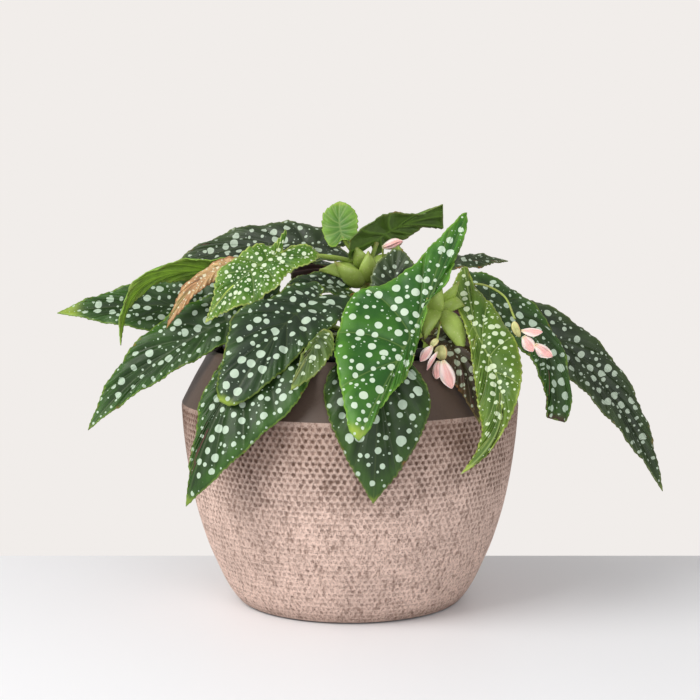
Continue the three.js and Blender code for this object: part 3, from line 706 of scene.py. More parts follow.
def soil_finish(planter):
    """Dark potting soil with brown fibres and pale grains."""
    made = Finish("potting_soil", Roughness=0.95, Specular_IOR_Level=0.2)
    place = made.place()
    dark = tuple(planter.soil)
    moist = made.step(made.noise(place, 180.0, 5.0, 0.7), 0.35, 0.65)
    base = made.mix(moist, darker(dark, 0.4), dark)
    chips = made.node("TexVoronoi", {"Vector": place, "Scale": 260.0})
    chosen = made.node("SeparateColor", {0: chips.outputs["Color"]}).outputs[0]
    base = made.mix(made.step(chosen, 0.8, 0.84, 0.0, 0.7), base, colour(116, 86, 60))
    base = made.mix(made.step(chosen, 0.955, 0.965, 0.0, 0.85), base, colour(206, 198, 182))
    crumbs = made.math("ADD", made.noise(place, 420.0, 5.0, 0.7), chips.outputs["Distance"])
    made.bump(crumbs, 1.2 * MM)
    return made.finish(base)


# ---------- shared modelling steps ----------


def clear_selection():
    if bpy.context.mode != "OBJECT":
        bpy.ops.object.mode_set(mode="OBJECT")
    bpy.ops.object.select_all(action="DESELECT")


def activate(piece):
    clear_selection()
    piece.select_set(True)
    bpy.context.view_layer.objects.active = piece


def points_of(piece):
    found = np.empty(len(piece.data.vertices) * 3)
    piece.data.vertices.foreach_get("co", found)
    return found.reshape(-1, 3)


def move_points(piece, places):
    piece.data.vertices.foreach_set("co", np.asarray(places, dtype=float).ravel())
    piece.data.update()


def write_attribute(piece, name, values):
    layer = piece.data.attributes.new(name, "FLOAT", "POINT")
    layer.data.foreach_set("value", np.asarray(values, dtype=np.float32))


def grid(name, columns, rows):
    """A square sheet of columns by rows faces, with the column and row of each of its points."""
    clear_selection()
    bpy.ops.mesh.primitive_grid_add(x_subdivisions=columns, y_subdivisions=rows, size=1)
    piece = bpy.context.object
    piece.name = piece.data.name = name
    piece.data.uv_layers[0].name = "flat"
    at = points_of(piece)
    column = np.rint((at[:, 0] + 0.5) * columns).astype(int)
    row = np.rint((at[:, 1] + 0.5) * rows).astype(int)
    return piece, column, row


def write_uv(piece, name, places):
    """Gives every corner of a face the flat place of its point."""
    layers = piece.data.uv_layers
    layer = layers.get(name) or layers.new(name=name)
    corners = np.empty(len(piece.data.loops), dtype=int)
    piece.data.loops.foreach_get("vertex_index", corners)
    layer.data.foreach_set("uv", np.asarray(places, dtype=float)[corners].ravel())


def weld(piece, distance=0.02 * MM, outward=False):
    activate(piece)
    bpy.ops.object.mode_set(mode="EDIT")
    bpy.ops.mesh.select_all(action="SELECT")
    bpy.ops.mesh.remove_doubles(threshold=distance)
    if outward:
        bpy.ops.mesh.normals_make_consistent(inside=False)
    bpy.ops.object.mode_set(mode="OBJECT")


def turn_over(piece):
    activate(piece)
    bpy.ops.object.mode_set(mode="EDIT")
    bpy.ops.mesh.select_all(action="SELECT")
    bpy.ops.mesh.flip_normals()
    bpy.ops.object.mode_set(mode="OBJECT")


def apply_modifier(piece, kind, **settings):
    activate(piece)
    made = piece.modifiers.new(kind.title(), kind)
    for key, value in settings.items():
        setattr(made, key, value)
    bpy.ops.object.modifier_apply(modifier=made.name)


def smooth(piece, angle=None):
    activate(piece)
    if angle is None:
        bpy.ops.object.shade_smooth()
    else:
        bpy.ops.object.shade_smooth_by_angle(angle=math.radians(angle))


def lathe(name, profile, steps):
    """Spins a profile of radius and height, in millimetres, once round the upright axis."""
    clear_selection()
    mesh = bpy.data.meshes.new(name)
    corners = [(radius * MM, 0, height * MM) for radius, height in profile]
    mesh.from_pydata(corners, [(i, i + 1) for i in range(len(corners) - 1)], [])
    piece = bpy.data.objects.new(name, mesh)
    bpy.context.scene.collection.objects.link(piece)
    activate(piece)
    bpy.ops.object.mode_set(mode="EDIT")
    bpy.ops.mesh.select_all(action="SELECT")
    bpy.ops.mesh.spin(steps=steps, angle=2 * math.pi, center=(0, 0, 0), axis=(0, 0, 1))
    bpy.ops.object.mode_set(mode="OBJECT")
    weld(piece, outward=True)
    return piece


def tube(name, path, radii, sides=3):
    """A round rod along a path in metres, with a radius at each of its points."""
    clear_selection()
    bpy.ops.curve.primitive_nurbs_path_add()
    piece = bpy.context.object
    piece.name = name
    line = piece.data
    line.splines.clear()
    spline = line.splines.new("POLY")
    spline.points.add(len(path) - 1)
    for point, place, radius in zip(spline.points, path, radii):
        point.co = (*place, 1)
        point.radius = radius
    line.bevel_depth = 1.0
    line.bevel_resolution = sides
    line.use_fill_caps = True
    line.twist_mode = "MINIMUM"
    activate(piece)
    bpy.ops.object.convert(target="MESH")
    piece = bpy.context.object
    piece.location = (0, 0, 0)
    piece.data.materials.clear()
    return piece


def join(name, pieces):
    clear_selection()
    for piece in pieces:
        piece.select_set(True)
    bpy.context.view_layer.objects.active = pieces[0]
    bpy.ops.object.join()
    whole = bpy.context.object
    whole.name = whole.data.name = name
    return whole


def hand_over(piece, node):
    """The finished piece stands for its node and rides with the object."""
    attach(piece, "root")
    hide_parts(node)


# ---------- curves ----------


def bezier(ends, samples=160):
    """Points along a Bezier curve through its first and last end."""
    t = np.linspace(0, 1, samples)[:, None]
    order = len(ends) - 1
    total = 0
    for i, end in enumerate(ends):
        total = total + math.comb(order, i) * t**i * (1 - t) ** (order - i) * np.array(end, float)
    return total


def slope(ends, t):
    """Unit direction of a Bezier curve at t."""
    order = len(ends) - 1
    total = np.zeros(3)
    for i in range(order):
        weight = math.comb(order - 1, i) * t**i * (1 - t) ** (order - 1 - i)
        total += weight * (np.array(ends[i + 1], float) - np.array(ends[i], float))
    return total / np.linalg.norm(total)


def run_lengths(points):
    steps = np.linalg.norm(np.diff(points, axis=0), axis=1)
    return np.concatenate([[0], np.cumsum(steps)])


def even_run(points, count):
    """count points evenly along a line of points."""
    points = np.asarray(points, float)
    runs = run_lengths(points)
    wanted = np.linspace(0, runs[-1], count)
    return np.stack([np.interp(wanted, runs, points[:, k]) for k in range(points.shape[1])], 1)


def through(points, steps=12):
    """A smooth centripetal curve through the given points."""
    points = [np.array(point, float) for point in points]
    ends = [2 * points[0] - points[1], *points, 2 * points[-1] - points[-2]]
    line = []
    for a, b, c, d in zip(ends, ends[1:], ends[2:], ends[3:]):
        t1 = max(np.linalg.norm(b - a), 1e-6) ** 0.5
        t2 = t1 + max(np.linalg.norm(c - b), 1e-6) ** 0.5
        t3 = t2 + max(np.linalg.norm(d - c), 1e-6) ** 0.5
        for t in np.linspace(t1, t2, steps, endpoint=False):
            ab = (t1 - t) / t1 * a + t / t1 * b
            bc = (t2 - t) / (t2 - t1) * b + (t - t1) / (t2 - t1) * c
            cd = (t3 - t) / (t3 - t2) * c + (t - t2) / (t3 - t2) * d
            abc = (t2 - t) / t2 * ab + t / t2 * bc
            bcd = (t3 - t) / (t3 - t1) * bc + (t - t1) / (t3 - t1) * cd
            line.append((t2 - t) / (t2 - t1) * abc + (t - t1) / (t2 - t1) * bcd)
    return np.array([*line, points[-1]])


def soft_step(value, low, high):
    share = np.clip((value - low) / (high - low), 0, 1)
    return share * share * (3 - 2 * share)


# ---------- leaves ----------

HALF_COLUMNS = 128
ROWS = 14
SPINE_SHARE = 0.55
DROOP = 2.0
FOLD = (12, 12)
RUFFLE = 6.2
FINE_RUFFLE = 2.3
YELLOW_POINT = (150, 176, 62)

# Where the side veins meet the rim, as shares of the way from the tip to the notch.
VEINS = (0.0, 0.13, 0.28, 0.44, 0.6, 0.76, 0.9)


class Blade:
    """Where the points of one blade lie: its midrib, and the axes along, across and out of it."""

    def __init__(self, leaf):
        self.leaf = leaf
        self.ends = [leaf["base"], *leaf["bend"], leaf["tip"]]
        line = bezier(self.ends)
        runs = run_lengths(line)
        self.length = runs[-1]
        self.shares = np.linspace(0, 1, 121)
        self.line = even_run(line, len(self.shares))
        steps = np.interp(self.shares * self.length, runs, np.linspace(0, 1, len(line)))
        start = Vector(slope(self.ends, 0))
        face = Vector(leaf["face"])
        face = (face - start * face.dot(start)).normalized()
        alongs, outs, acrosses = [], [], []
        for share, step in zip(self.shares, steps):
            along = Vector(slope(self.ends, step))
            out = start.rotation_difference(along) @ face
            out = Matrix.Rotation(math.radians(leaf.get("twist", 0)) * share, 3, along) @ out
            alongs.append(along)
            outs.append(out)
            acrosses.append(along.cross(out).normalized())
        self.along, self.out, self.across = (np.array(axis) for axis in (alongs, outs, acrosses))

    def at(self, table, share):
        return np.stack([np.interp(share, self.shares, table[:, k]) for k in range(3)], 1)

    def place(self, u, v, lift):
        """Bends flat places u along and v across the midrib into the leaf's shape."""
        share = np.clip(u / self.length, 0, 1)
        folds = np.radians(self.leaf.get("fold", FOLD))
        fold = np.where(v < 0, folds[0], folds[1])
        middle = self.at(self.line, share) + self.at(self.along, share) * np.minimum(u, 0)[:, None]
        beside = self.at(self.across, share) * (v * np.cos(fold))[:, None]
        above = self.at(self.out, share) * (np.abs(v) * np.sin(fold) + lift)[:, None]
        return middle + beside + above


def half_rim(width, widest, lobe, lobe_out=0.42, fullness=0.9, *, full_length):
    shoulder = widest * full_length
    rest = full_length - shoulder
    return [
        (shoulder + 0.66 * rest, 0.5 * width), (shoulder + 0.33 * rest, 0.86 * width),
        (shoulder, width), (0.4 * (shoulder - lobe), fullness * width),
        (-lobe, lobe_out * width), (-0.5 * lobe, 0.2 * lobe_out * width),
    ]


def outline(leaf, full_length):
    """The rim as two even runs, from the tip to the notch by the right and back by the left."""
    if "rim" in leaf:
        corners = leaf["rim"]
    else:
        right = half_rim(*leaf["right"], full_length=full_length)
        left = half_rim(*leaf["left"], full_length=full_length)
        corners = [*right, (-2, 0), *[(u, -v) for u, v in reversed(left)]]
    line = through([(full_length, 0), *corners, (full_length, 0)])
    notch = int(np.argmin(np.hypot(line[:, 0], line[:, 1])))
    return even_run(line[: notch + 1], HALF_COLUMNS + 1), even_run(line[notch:], HALF_COLUMNS + 1)


def toothed(run, leaf, leaves, chance):
    """Adds small uneven teeth to one run of the rim, pointing towards the tip."""
    runs = run_lengths(run)
    ahead = np.gradient(run, axis=0)
    ahead /= np.linalg.norm(ahead, axis=1)[:, None] + 1e-9
    normal = np.stack([ahead[:, 1], -ahead[:, 0]], 1)
    side = 1 if np.sum(normal * (run - run.mean(0))) > 0 else -1
    pitch = leaves.tooth_pitch / MM
    height = leaves.tooth / MM * leaf.get("teeth", 1.0)
    phase = runs / pitch + 0.6 * np.sin(runs / 17 + chance.random() * 6) + chance.random()
    tooth = phase - np.floor(phase)
    size = 0.5 + 0.8 * np.sin(np.floor(phase) * 2.7 + 1) ** 2
    ends = soft_step(runs, 0, 8) * soft_step(runs[-1] - runs, 0, 8)
    return run + normal * side * (height * size * (tooth - 0.4) * ends)[:, None]


def leaf_blade(name, leaf, leaves, chance):
    """One blade: a fan of columns from the midrib to the rim, quilted, ruffled and thickened."""
    blade = Blade(leaf)
    right, left = (toothed(run, leaf, leaves, chance) for run in outline(leaf, blade.length))
    right[0] = left[-1] = (blade.length, 0)
    rim = np.concatenate([right, left[1:]])
    count = 2 * HALF_COLUMNS
    spread = np.abs(np.arange(count + 1) - HALF_COLUMNS) / HALF_COLUMNS
    origin = np.stack([SPINE_SHARE * blade.length * spread**1.3, np.zeros(count + 1)], 1)
    reach = rim - origin
    span = np.linalg.norm(reach, axis=1)
    piece, column, row = grid(name + "_blade", count, ROWS)
    share = (np.arange(ROWS + 1) / ROWS) ** 0.9
    bow = -0.34 * np.abs(reach[:, 1])
    flat = origin[None] + reach[None] * share[:, None, None]
    flat[:, :, 0] += bow[None] * (share * (1 - share))[:, None]
    vein_columns = sorted({
        int(round(HALF_COLUMNS * (1 + side * (1 - vein)))) for vein in VEINS for side in (1, -1)
    })
    gaps = [np.linalg.norm(flat - flat[:, k : k + 1], axis=2) for k in vein_columns]
    vein = np.minimum(np.min(gaps, axis=0), np.abs(flat[:, :, 1]))
    edge = span[None] * (1 - share[:, None])
    ahead = np.gradient(rim, axis=0)
    ahead /= np.linalg.norm(ahead, axis=1)[:, None] + 1e-9
    edge = edge * np.abs(np.cross(ahead, reach / (span[:, None] + 1e-9)))[None]
    swell = leaves.quilt / MM * (1 - np.exp(-((vein / 4.5) ** 2))) * soft_step(edge, 0, 6)
    arc = run_lengths(rim)
    waves = np.sin(arc / RUFFLE + chance.random() * 6)
    waves += 0.4 * np.sin(arc / FINE_RUFFLE + chance.random() * 6)
    ruffle = leaf.get("wave", 1.4) * waves[None] * share[:, None] ** 4
    ruffle *= soft_step(np.minimum(arc, arc[-1] - arc), 4, 30)[None]
    widest = np.abs(rim[:, 1]).max()
    droop = -DROOP * (flat[:, :, 1] / widest) ** 2
    lift = swell + ruffle + droop
    tables = (flat[:, :, 0], flat[:, :, 1], lift, vein, edge)
    u, v, lift, vein, edge = (table[row, column] for table in tables)
    move_points(piece, blade.place(u, v, lift) * MM)
    slide = np.array([chance.uniform(0, 40), chance.uniform(0, 40)])
    write_uv(piece, "flat", np.stack([u, v], 1) / 10 + slide)
    write_attribute(piece, "vein", vein * MM)
    write_attribute(piece, "edge", edge * MM)
    pale_reach = leaf.get("pale_tip", 6)
    write_attribute(piece, "pale", 1 - soft_step(blade.length - u, 0.2 * pale_reach, pale_reach))
    weld(piece)
    piece.data.update()
    middle = blade.at(blade.out, np.array([0.5]))[0]
    normals = np.array([face.normal for face in piece.data.polygons])
    areas = np.array([face.area for face in piece.data.polygons])
    if (normals @ middle * areas).sum() < 0:
        turn_over(piece)
    look = LOOKS[leaf["look"]]
    point = leaf.get("point", YELLOW_POINT)
    piece.data.materials.append(blade_finish(name + "_upper", look, leaves, point))
    piece.data.materials.append(underside_finish(name + "_under", look))
    apply_modifier(
        piece, "SOLIDIFY", thickness=leaves.thickness, offset=-1, material_offset=1,
        material_offset_rim=0,
    )
    smooth(piece)
    return piece


# ---------- canes, leaf stalks and bracts ----------

STALK_GAP = 1.2


def stalk_ends(start, leaf):
    """A leaf stalk leaves the cane upwards and meets the blade from behind and below."""
    blade = Blade(leaf)
    along, out = blade.along[0], blade.out[0]
    end = np.array(leaf["base"], float) - out * STALK_GAP
    reach = 0.35 * np.linalg.norm(end - start)
    entry = end - out * reach * 0.4 - along * reach * 0.6
    lift = start + np.array([0, 0, reach * 0.6])
    return [start, lift, entry, end]


def bract(name, base, tip, face, width):
    """A pointed, cupped scale, as a thin closed sheet."""
    columns, rows = 10, 16
    piece, column, row = grid(name, columns, rows)
    base, tip = np.array(base, float), np.array(tip, float)
    along = tip - base
    span = np.linalg.norm(along)
    along /= span
    side = np.cross(along, np.array(face, float))
    side /= np.linalg.norm(side)
    out = np.cross(side, along)
    t = row / rows
    across = (column / columns - 0.5) * 2
    half = 0.5 * width * np.sin(math.pi * np.clip(0.12 + 0.88 * t, 0, 1) ** 0.8)
    curl = 0.16 * width * (1 - across**2) + 0.16 * span * np.sin(math.pi * t)
    places = base + along * (t * span)[:, None] + side * (half * across)[:, None] + out * curl[:, None]
    move_points(piece, places * MM)
    write_attribute(piece, "blush", 0.5 * soft_step(t, 0.75, 1.0) + 0.35 * soft_step(1 - t, 0.8, 1))
    apply_modifier(piece, "SOLIDIFY", thickness=0.6 * MM, offset=0)
    smooth(piece)
    return piece


def cane_piece(name, stems):
    """One cane with its nodes, the stalks of its leaves and the bracts at its top."""
    foot, top = CANES[name]["foot"], CANES[name]["top"]
    route = [(*foot, SOIL_TOP - 35), (*foot, SOIL_TOP - 8), (*foot, SOIL_TOP + 8), top]
    stem = even_run(through(route), 60)
    share = np.linspace(0, 1, len(stem))
    ring = np.exp(-(((share * 5.2) % 1 - 0.5) / 0.09) ** 2)
    radii = stems.cane_radius * (1 + 0.22 * ring) * (1 - 0.25 * soft_step(share, 0.85, 1))
    cane = tube(name + "_stem", stem * MM, radii, sides=6)
    height = points_of(cane)[:, 2] / MM
    at_node = np.interp(height, stem[:, 2], ring)
    write_attribute(cane, "blush", at_node * 0.9)
    parts = [cane]
    curve = through(route, 40)
    for leaf_name, leaf in LEAVES.items():
        if leaf["cane"] != name:
            continue
        rise = min(max(0.55 + (leaf["base"][2] - 205) / 120, 0.6), 0.97)
        start = curve[int((0.3 + 0.7 * rise * rise) * (len(curve) - 1))]
        path = bezier(stalk_ends(start, leaf), 40)
        along = np.linspace(0, 1, len(path))
        flare = 1.35 - 0.35 * soft_step(along, 0, 0.25) + 0.2 * soft_step(along, 0.85, 1)
        radii = stems.stalk_radius * flare
        stalk = tube(leaf_name + "_stalk", path * MM, radii, sides=3)
        places = points_of(stalk) / MM
        far = np.linalg.norm(places - path[0], axis=1) / np.linalg.norm(path[-1] - path[0])
        blush = 0.55 * soft_step(far, 0.8, 1.0) + 0.5 * soft_step(1 - far, 0.88, 1.0)
        write_attribute(stalk, "blush", blush)
        parts.append(stalk)
    parts += [bract(f"{name}_bract_{i}", *scale) for i, scale in enumerate(BRACTS[name])]
    for part in parts[:-len(BRACTS[name])]:
        smooth(part, 40)
    return join(name + "_stem", parts)


# ---------- flowers ----------


def petal_axes(shape):
    along = np.array(shape["along"], float)
    along /= np.linalg.norm(along)
    side = np.cross(along, np.array(shape["face"], float))
    side /= np.linalg.norm(side)
    return along, side, np.cross(side, along)


def petal(name, shape, flowers):
    """A cupped petal, broad past its middle and pointed, curling a little at its tip."""
    columns, rows = 20, 28
    piece, column, row = grid(name + "_piece", columns, rows)
    along, side, out = petal_axes(shape)
    full, width, depth = shape["size"]
    t = row / rows
    across = (column / columns - 0.5) * 2
    half = 0.5 * width * np.sin(math.pi * np.clip(0.1 + 0.9 * t, 0, 1) ** 1.25) ** 0.8
    cup = -0.9 * depth * across**2 * np.sin(math.pi * t) + 0.6 * depth * np.sin(math.pi * t)
    curl = 0.8 * depth * soft_step(t, 0.6, 1)
    ripple = 0.12 * depth * np.sin(across * 9 + t * 5)
    places = (np.array(shape["at"], float) + along * ((t - 0.5) * full)[:, None]
              + side * (half * across)[:, None] + out * (cup + curl + ripple)[:, None])
    move_points(piece, places * MM)
    weld(piece)
    apply_modifier(piece, "SOLIDIFY", thickness=flowers.petal_thickness, offset=0)
    smooth(piece)
    return piece


def ovary(name, shape):
    """A plump capsule with three thin wings."""
    clear_selection()
    bpy.ops.mesh.primitive_uv_sphere_add(segments=48, ring_count=24, radius=0.5)
    piece = bpy.context.object
    piece.name = piece.data.name = name + "_piece"
    along, side, out = petal_axes(shape)
    full, width, depth = shape["size"]
    at = points_of(piece)
    angle = np.arctan2(at[:, 1], at[:, 0])
    wing = np.abs(np.cos(1.5 * angle)) ** 14
    swell = 0.62 + 0.4 * wing
    taper = 1 - 0.25 * (at[:, 2] + 0.5)
    places = (np.array(shape["at"], float) + along * (at[:, 2] * full)[:, None]
              + side * (at[:, 0] * swell * taper * width)[:, None]
              + out * (at[:, 1] * swell * taper * depth)[:, None])
    move_points(piece, places * MM)
    write_attribute(piece, "wing", wing)
    weld(piece, outward=True)
    smooth(piece)
    return piece


# ---------- the planter, the nursery pot and the soil ----------

# Outside of the planter from the foot to the belly, then its shoulder and its inside.
BODY = [
    (87, 2), (92, 8), (98, 18), (104, 31), (110, 45), (115, 60), (119.5, 76), (123.5, 95),
    (126.5, 114), (128.8, 134), (130, 152),
]
SHOULDER = [(129.6, 155), (128.6, 157), (119.6, 174.5), (110.6, 190.5), (109.6, 193.2), (107.6, 194.8)]
INSIDE = [(105.5, 195), (103.8, 194), (103, 191), (122, 152), (119.5, 114), (112.5, 76), (103, 45),
          (91, 18), (78, 9), (0, 9)]
BODY_TOP = 153.6
PLANTER_STEPS_PER_DIMPLE = 4
ROWS_PER_DIMPLE = 3


def write_lattice(piece, turn, rise, dimples):
    """Lays the dimples' columns and rows out as a UV map, cut where the turn starts again."""
    corners = np.empty(len(piece.data.loops), dtype=int)
    piece.data.loops.foreach_get("vertex_index", corners)
    faces = piece.data.polygons
    owners = np.repeat(np.arange(len(faces)), [face.loop_total for face in faces])
    first = turn[corners][[face.loop_start for face in faces]]
    drift = turn[corners] - first[owners]
    unrolled = turn[corners] - dimples * np.rint(drift / dimples) + dimples
    layer = piece.data.uv_layers.new(name="lattice")
    layer.data.foreach_set("uv", np.stack([unrolled, rise[corners]], 1).ravel())


def planter_piece(planter):
    """The planter, its body pressed all over with staggered dimples."""
    wall = through(BODY)
    runs = run_lengths(wall)
    fine = even_run(wall, planter.rows * ROWS_PER_DIMPLE + 1)
    foot = [(0, 0), (78, 0), (82, 0.3), (85, 0.9)]
    profile = [*foot, *map(tuple, fine), *through(SHOULDER, 3), *INSIDE]
    piece = lathe("planter_piece", profile, planter.dimples * PLANTER_STEPS_PER_DIMPLE)
    at = points_of(piece)
    radius = np.hypot(at[:, 0], at[:, 1]) / MM
    height = at[:, 2] / MM

    def wall_radius_at(level):
        return np.interp(level, wall[:, 1], wall[:, 0])

    on_wall = np.abs(radius - wall_radius_at(height)) < 0.6
    outside = on_wall & (height > 2) & (height < 152.2)
    turn = np.arctan2(at[:, 1], at[:, 0]) / (2 * math.pi) * planter.dimples
    rise = np.interp(height, wall[:, 1], runs) / runs[-1] * planter.rows
    level = np.floor(rise)
    side = np.mod(turn + 0.5 * np.mod(level, 2), 1) - 0.5
    up = rise - level - 0.5
    reach = np.hypot(side * np.interp(up, [-0.5, 0.5], [1.6, 0.9]), up)
    depth = planter.dimple_depth * (0.35 + 0.65 * soft_step(height, 40, 140))
    fade = soft_step(height, 2, 12) * (1 - soft_step(height, 150, 152))
    press = np.where(outside, depth * fade * (1 - soft_step(reach, 0.1, 0.46)), 0)
    inwards = -at * np.array([1, 1, 0]) / (radius[:, None] * MM + 1e-9)
    move_points(piece, at + inwards * press[:, None])
    write_lattice(piece, turn, rise, planter.dimples)
    piece.data.materials.append(body_finish(planter))
    piece.data.materials.append(shoulder_finish(planter))
    middles = np.array([face.center for face in piece.data.polygons]) / MM
    level = middles[:, 2]
    body_skin = np.hypot(middles[:, 0], middles[:, 1]) > wall_radius_at(level) - 2.5
    finish = np.where((level < BODY_TOP) & body_skin, 0, 1)
    piece.data.polygons.foreach_set("material_index", finish.astype(np.int32))
    smooth(piece, 50)
    return piece


LINER_BASE = 9.3
LINER_SPINS = 160


def liner_piece():
    """The nursery pot: a thin tapered wall with a rolled rim and a raised foot."""
    profile = [
        (0, LINER_BASE + 1.5), (52, LINER_BASE + 1.5), (55, LINER_BASE), (69, LINER_BASE),
        (70, LINER_BASE + 1), (94.4, 190), (95.2, 193.6), (97.4, 194.2), (98, 195.2), (98, 200.8),
        (97.4, 202.4), (96.2, 203), (94.6, 202.8), (93.5, 201), (93.2, 193), (68.6, LINER_BASE + 3.4),
        (0, LINER_BASE + 3.2),
    ]
    piece = lathe("nursery_pot_piece", profile, LINER_SPINS)
    smooth(piece, 40)
    return piece


SOIL_SPINS = 220
SOIL_WAVES = (3.1, 4.7, 8.3, 14.0)
CRUMBS = 260
CROWN = 0.0008


def soil_piece(chance):
    """Crumbly soil: a crowned, lumpy surface with loose crumbs on it."""
    rings = [(radius, SOIL_TOP - CROWN * radius**2) for radius in np.linspace(0.0, 87, 60)]
    profile = [*rings, (90.6, SOIL_TOP - 7), (90, SOIL_TOP - 12), (0, SOIL_TOP - 14)]
    piece = lathe("soil_piece", profile, SOIL_SPINS)
    at = points_of(piece)
    x, y, z = (at[:, k] / MM for k in range(3))
    upper = soft_step(z, SOIL_TOP - 10, SOIL_TOP - 6) * (1 - soft_step(np.hypot(x, y), 84, 89))
    lumps = np.zeros(len(x))
    for wave in SOIL_WAVES:
        for _ in range(5):
            angle, phase = chance.uniform(0, math.tau), chance.uniform(0, math.tau)
            along = x * math.cos(angle) + y * math.sin(angle)
            lumps += wave / 40 * np.sin(along * math.tau / wave + phase)
    at[:, 2] += lumps * upper * MM
    move_points(piece, at)
    smooth(piece)
    parts = [piece]
    for _ in range(CRUMBS):
        angle, far = chance.uniform(0, math.tau), 86 * math.sqrt(chance.random())
        size = chance.uniform(0.9, 2.6)
        clear_selection()
        bpy.ops.mesh.primitive_ico_sphere_add(subdivisions=1, radius=size * MM)
        crumb = bpy.context.object
        jitter = np.array([[chance.uniform(0.65, 1.2) for _ in range(3)] for _ in crumb.data.vertices])
        middle = (far * math.cos(angle), far * math.sin(angle), SOIL_TOP + 0.4 - CROWN * far**2)
        move_points(crumb, points_of(crumb) * jitter + np.array(middle) * MM)
        parts.append(crumb)
    return join("soil_piece", parts)


# ---------- the stage ----------

LIGHTS = {
    "key": dict(place=(-1.5, -1.1, 1.6), size=1.7, power=42, tint=(1.0, 0.985, 0.96)),
    "fill": dict(place=(0.6, -1.8, 0.9), size=1.2, power=9, tint=(0.97, 0.98, 1.0)),
}
LIGHT_AIM = (0, 0, 0.15)
FLOOR_WIDTH = 6.0
FLOOR_FRONT = 4.0


def area_light(name, place, size, power, tint):
    lamp = bpy.data.lights.new(name, "AREA")
    lamp.shape = "DISK"
    lamp.size = size
    lamp.energy = power
    lamp.color = tint
    holder = bpy.data.objects.new(name, lamp)
    bpy.context.scene.collection.objects.link(holder)
    holder.location = place
    holder.rotation_euler = (Vector(LIGHT_AIM) - Vector(place)).to_track_quat("-Z", "Y").to_euler()


def floor_piece(stage):
    clear_selection()
    bpy.ops.mesh.primitive_plane_add(size=1, location=(0, 0, 0))
    floor = bpy.context.object
    floor.name = "floor"
    at = points_of(floor)
    at[:, 0] *= FLOOR_WIDTH
    at[:, 1] = np.where(at[:, 1] > 0, stage.floor_back, -FLOOR_FRONT)
    move_points(floor, at)
    made = Finish("floor_paint", Roughness=0.45, Specular_IOR_Level=0.3)
    tone = tuple(stage.floor)
    base = made.mix(made.noise(made.place(), 3.0), tone, darker(tone, 0.97))
    floor.data.materials.append(made.finish(base))


# ---------- operators ----------

SOIL_SEED = 11
LEAF_SEED = 100


class BEGONIA_OT_stage(bpy.types.Operator):
    """Sets up the floor, the soft lights and the camera"""
    bl_idname = "begonia.stage"
    bl_label = "Stage"

    def execute(self, context):
        stage = context.scene.begonia_stage
        scene = context.scene
        scene.view_settings.view_transform = "Standard"
        lens = bpy.data.cameras.new("camera")
        lens.lens = stage.lens
        lens.sensor_width = 36
        camera = bpy.data.objects.new("camera", lens)
        scene.collection.objects.link(camera)
        camera.location = (0, -stage.camera_distance, stage.camera_height)
        camera.rotation_euler = (math.pi / 2 - stage.camera_pitch, 0, 0)
        scene.camera = camera
        world = bpy.data.worlds.new("studio")
        world.use_nodes = True
        light = world.node_tree.nodes["Background"]
        light.inputs[0].default_value = (*stage.backdrop, 1)
        rays = world.node_tree.nodes.new("ShaderNodeLightPath")
        dim = world.node_tree.nodes.new("ShaderNodeMapRange")
        dim.inputs["To Min"].default_value = stage.ambient
        world.node_tree.links.new(rays.outputs["Is Camera Ray"], dim.inputs["Value"])
        world.node_tree.links.new(dim.outputs[0], light.inputs[1])
        scene.world = world
        for name, light in LIGHTS.items():
            area_light(name, **light)
        floor_piece(stage)
        return {"FINISHED"}


class BEGONIA_OT_planter(bpy.types.Operator):
    """Models the dimpled planter"""
    bl_idname = "begonia.planter"
    bl_label = "Planter"

    def execute(self, context):
        hand_over(planter_piece(context.scene.begonia_planter), "ceramic_pot")
        return {"FINISHED"}


class BEGONIA_OT_nursery_pot(bpy.types.Operator):
    """Models the nursery pot"""
    bl_idname = "begonia.nursery_pot"
    bl_label = "Nursery Pot"

    def execute(self, context):
        liner = liner_piece()
        liner.data.materials.append(liner_finish(context.scene.begonia_planter))
        hand_over(liner, "nursery_pot")
        return {"FINISHED"}


class BEGONIA_OT_soil(bpy.types.Operator):
    """Models the potting soil"""
    bl_idname = "begonia.soil"
    bl_label = "Soil"

    def execute(self, context):
        soil = soil_piece(random.Random(SOIL_SEED))
        soil.data.materials.clear()
        soil.data.materials.append(soil_finish(context.scene.begonia_planter))
        hand_over(soil, "soil")
        return {"FINISHED"}


class BEGONIA_OT_canes(bpy.types.Operator):
    """Models each cane with its leaf stalks and bracts"""
    bl_idname = "begonia.canes"
    bl_label = "Canes"

    def execute(self, context):
        stems = context.scene.begonia_stems
        finish = stem_finish(stems)
        for name in CANES:
            piece = cane_piece(name, stems)
            piece.data.materials.clear()
            piece.data.materials.append(finish)
            hand_over(piece, name)
        return {"FINISHED"}


class BEGONIA_OT_leaves(bpy.types.Operator):
    """Models every leaf blade"""
    bl_idname = "begonia.leaves"
    bl_label = "Leaves"

    def execute(self, context):
        leaves = context.scene.begonia_leaves
        for number, (name, leaf) in enumerate(LEAVES.items()):
            piece = leaf_blade(name, leaf, leaves, random.Random(LEAF_SEED + number))
            hand_over(piece, name)
        return {"FINISHED"}


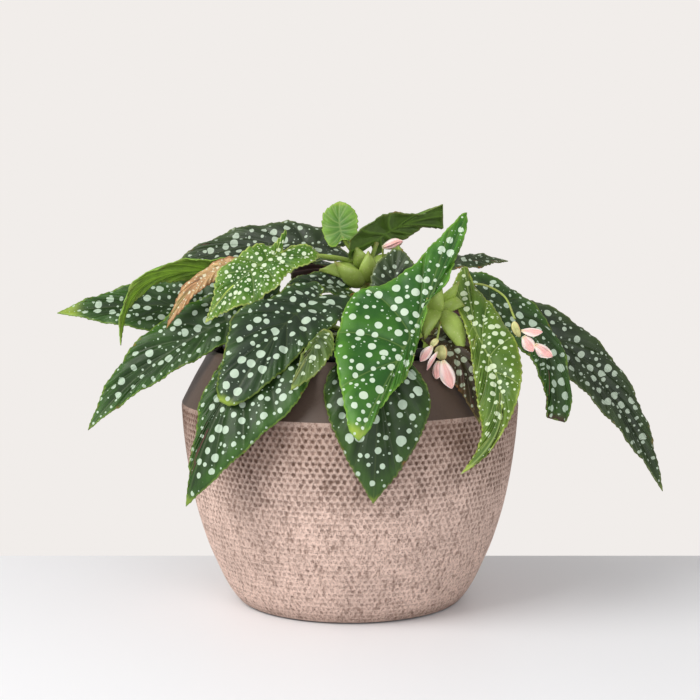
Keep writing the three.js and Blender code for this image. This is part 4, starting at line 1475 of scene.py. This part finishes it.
class BEGONIA_OT_flowers(bpy.types.Operator):
    """Models the flower stalks, ovaries, petals and bud"""
    bl_idname = "begonia.flowers"
    bl_label = "Flowers"

    def execute(self, context):
        flowers = context.scene.begonia_flowers
        stem = stem_finish(context.scene.begonia_stems)
        for name, points in FLOWER_STALKS.items():
            path = even_run(through(points), 40)
            piece = tube(name + "_piece", path * MM, [flowers.stalk_radius] * len(path))
            write_attribute(piece, "blush", np.full(len(piece.data.vertices), 0.4))
            piece.data.materials.append(stem)
            smooth(piece, 60)
            hand_over(piece, name)
        green, pink = ovary_finish(flowers), petal_finish(flowers)
        for name, shape in OVARIES.items():
            piece = ovary(name, shape)
            piece.data.materials.append(green)
            hand_over(piece, name)
        for name, shape in PETALS.items():
            piece = petal(name, shape, flowers)
            piece.data.materials.append(pink)
            hand_over(piece, name)
        return {"FINISHED"}


class BEGONIA_PT_panel(bpy.types.Panel):
    """Sizes and steps of the potted begonia"""
    bl_label = "Potted Cane Begonia"
    bl_space_type = "VIEW_3D"
    bl_region_type = "UI"
    bl_category = "Begonia"

    def draw(self, context):
        for operator, group in STEPS:
            box = self.layout.box()
            box.operator(operator.bl_idname)
            settings = getattr(context.scene, group)
            for key in settings.__annotations__:
                box.prop(settings, key)


GROUPS = {
    "begonia_stage": BegoniaStage,
    "begonia_planter": BegoniaPlanter,
    "begonia_stems": BegoniaStems,
    "begonia_leaves": BegoniaLeaves,
    "begonia_flowers": BegoniaFlowers,
}
STEPS = [
    (BEGONIA_OT_stage, "begonia_stage"),
    (BEGONIA_OT_planter, "begonia_planter"),
    (BEGONIA_OT_nursery_pot, "begonia_planter"),
    (BEGONIA_OT_soil, "begonia_planter"),
    (BEGONIA_OT_canes, "begonia_stems"),
    (BEGONIA_OT_leaves, "begonia_leaves"),
    (BEGONIA_OT_flowers, "begonia_flowers"),
]
CLASSES = [*GROUPS.values(), *(operator for operator, _ in STEPS), BEGONIA_PT_panel]


def register():
    for item in CLASSES:
        bpy.utils.register_class(item)
    for key, group in GROUPS.items():
        setattr(bpy.types.Scene, key, bpy.props.PointerProperty(type=group))


def unregister():
    for key in GROUPS:
        delattr(bpy.types.Scene, key)
    for item in reversed(CLASSES):
        bpy.utils.unregister_class(item)


def main():
    register()
    bpy.ops.begonia.stage()
    bpy.ops.begonia.planter()
    bpy.ops.begonia.nursery_pot()
    bpy.ops.begonia.soil()
    bpy.ops.begonia.canes()
    bpy.ops.begonia.leaves()
    bpy.ops.begonia.flowers()


if __name__ == "__main__":
    main()
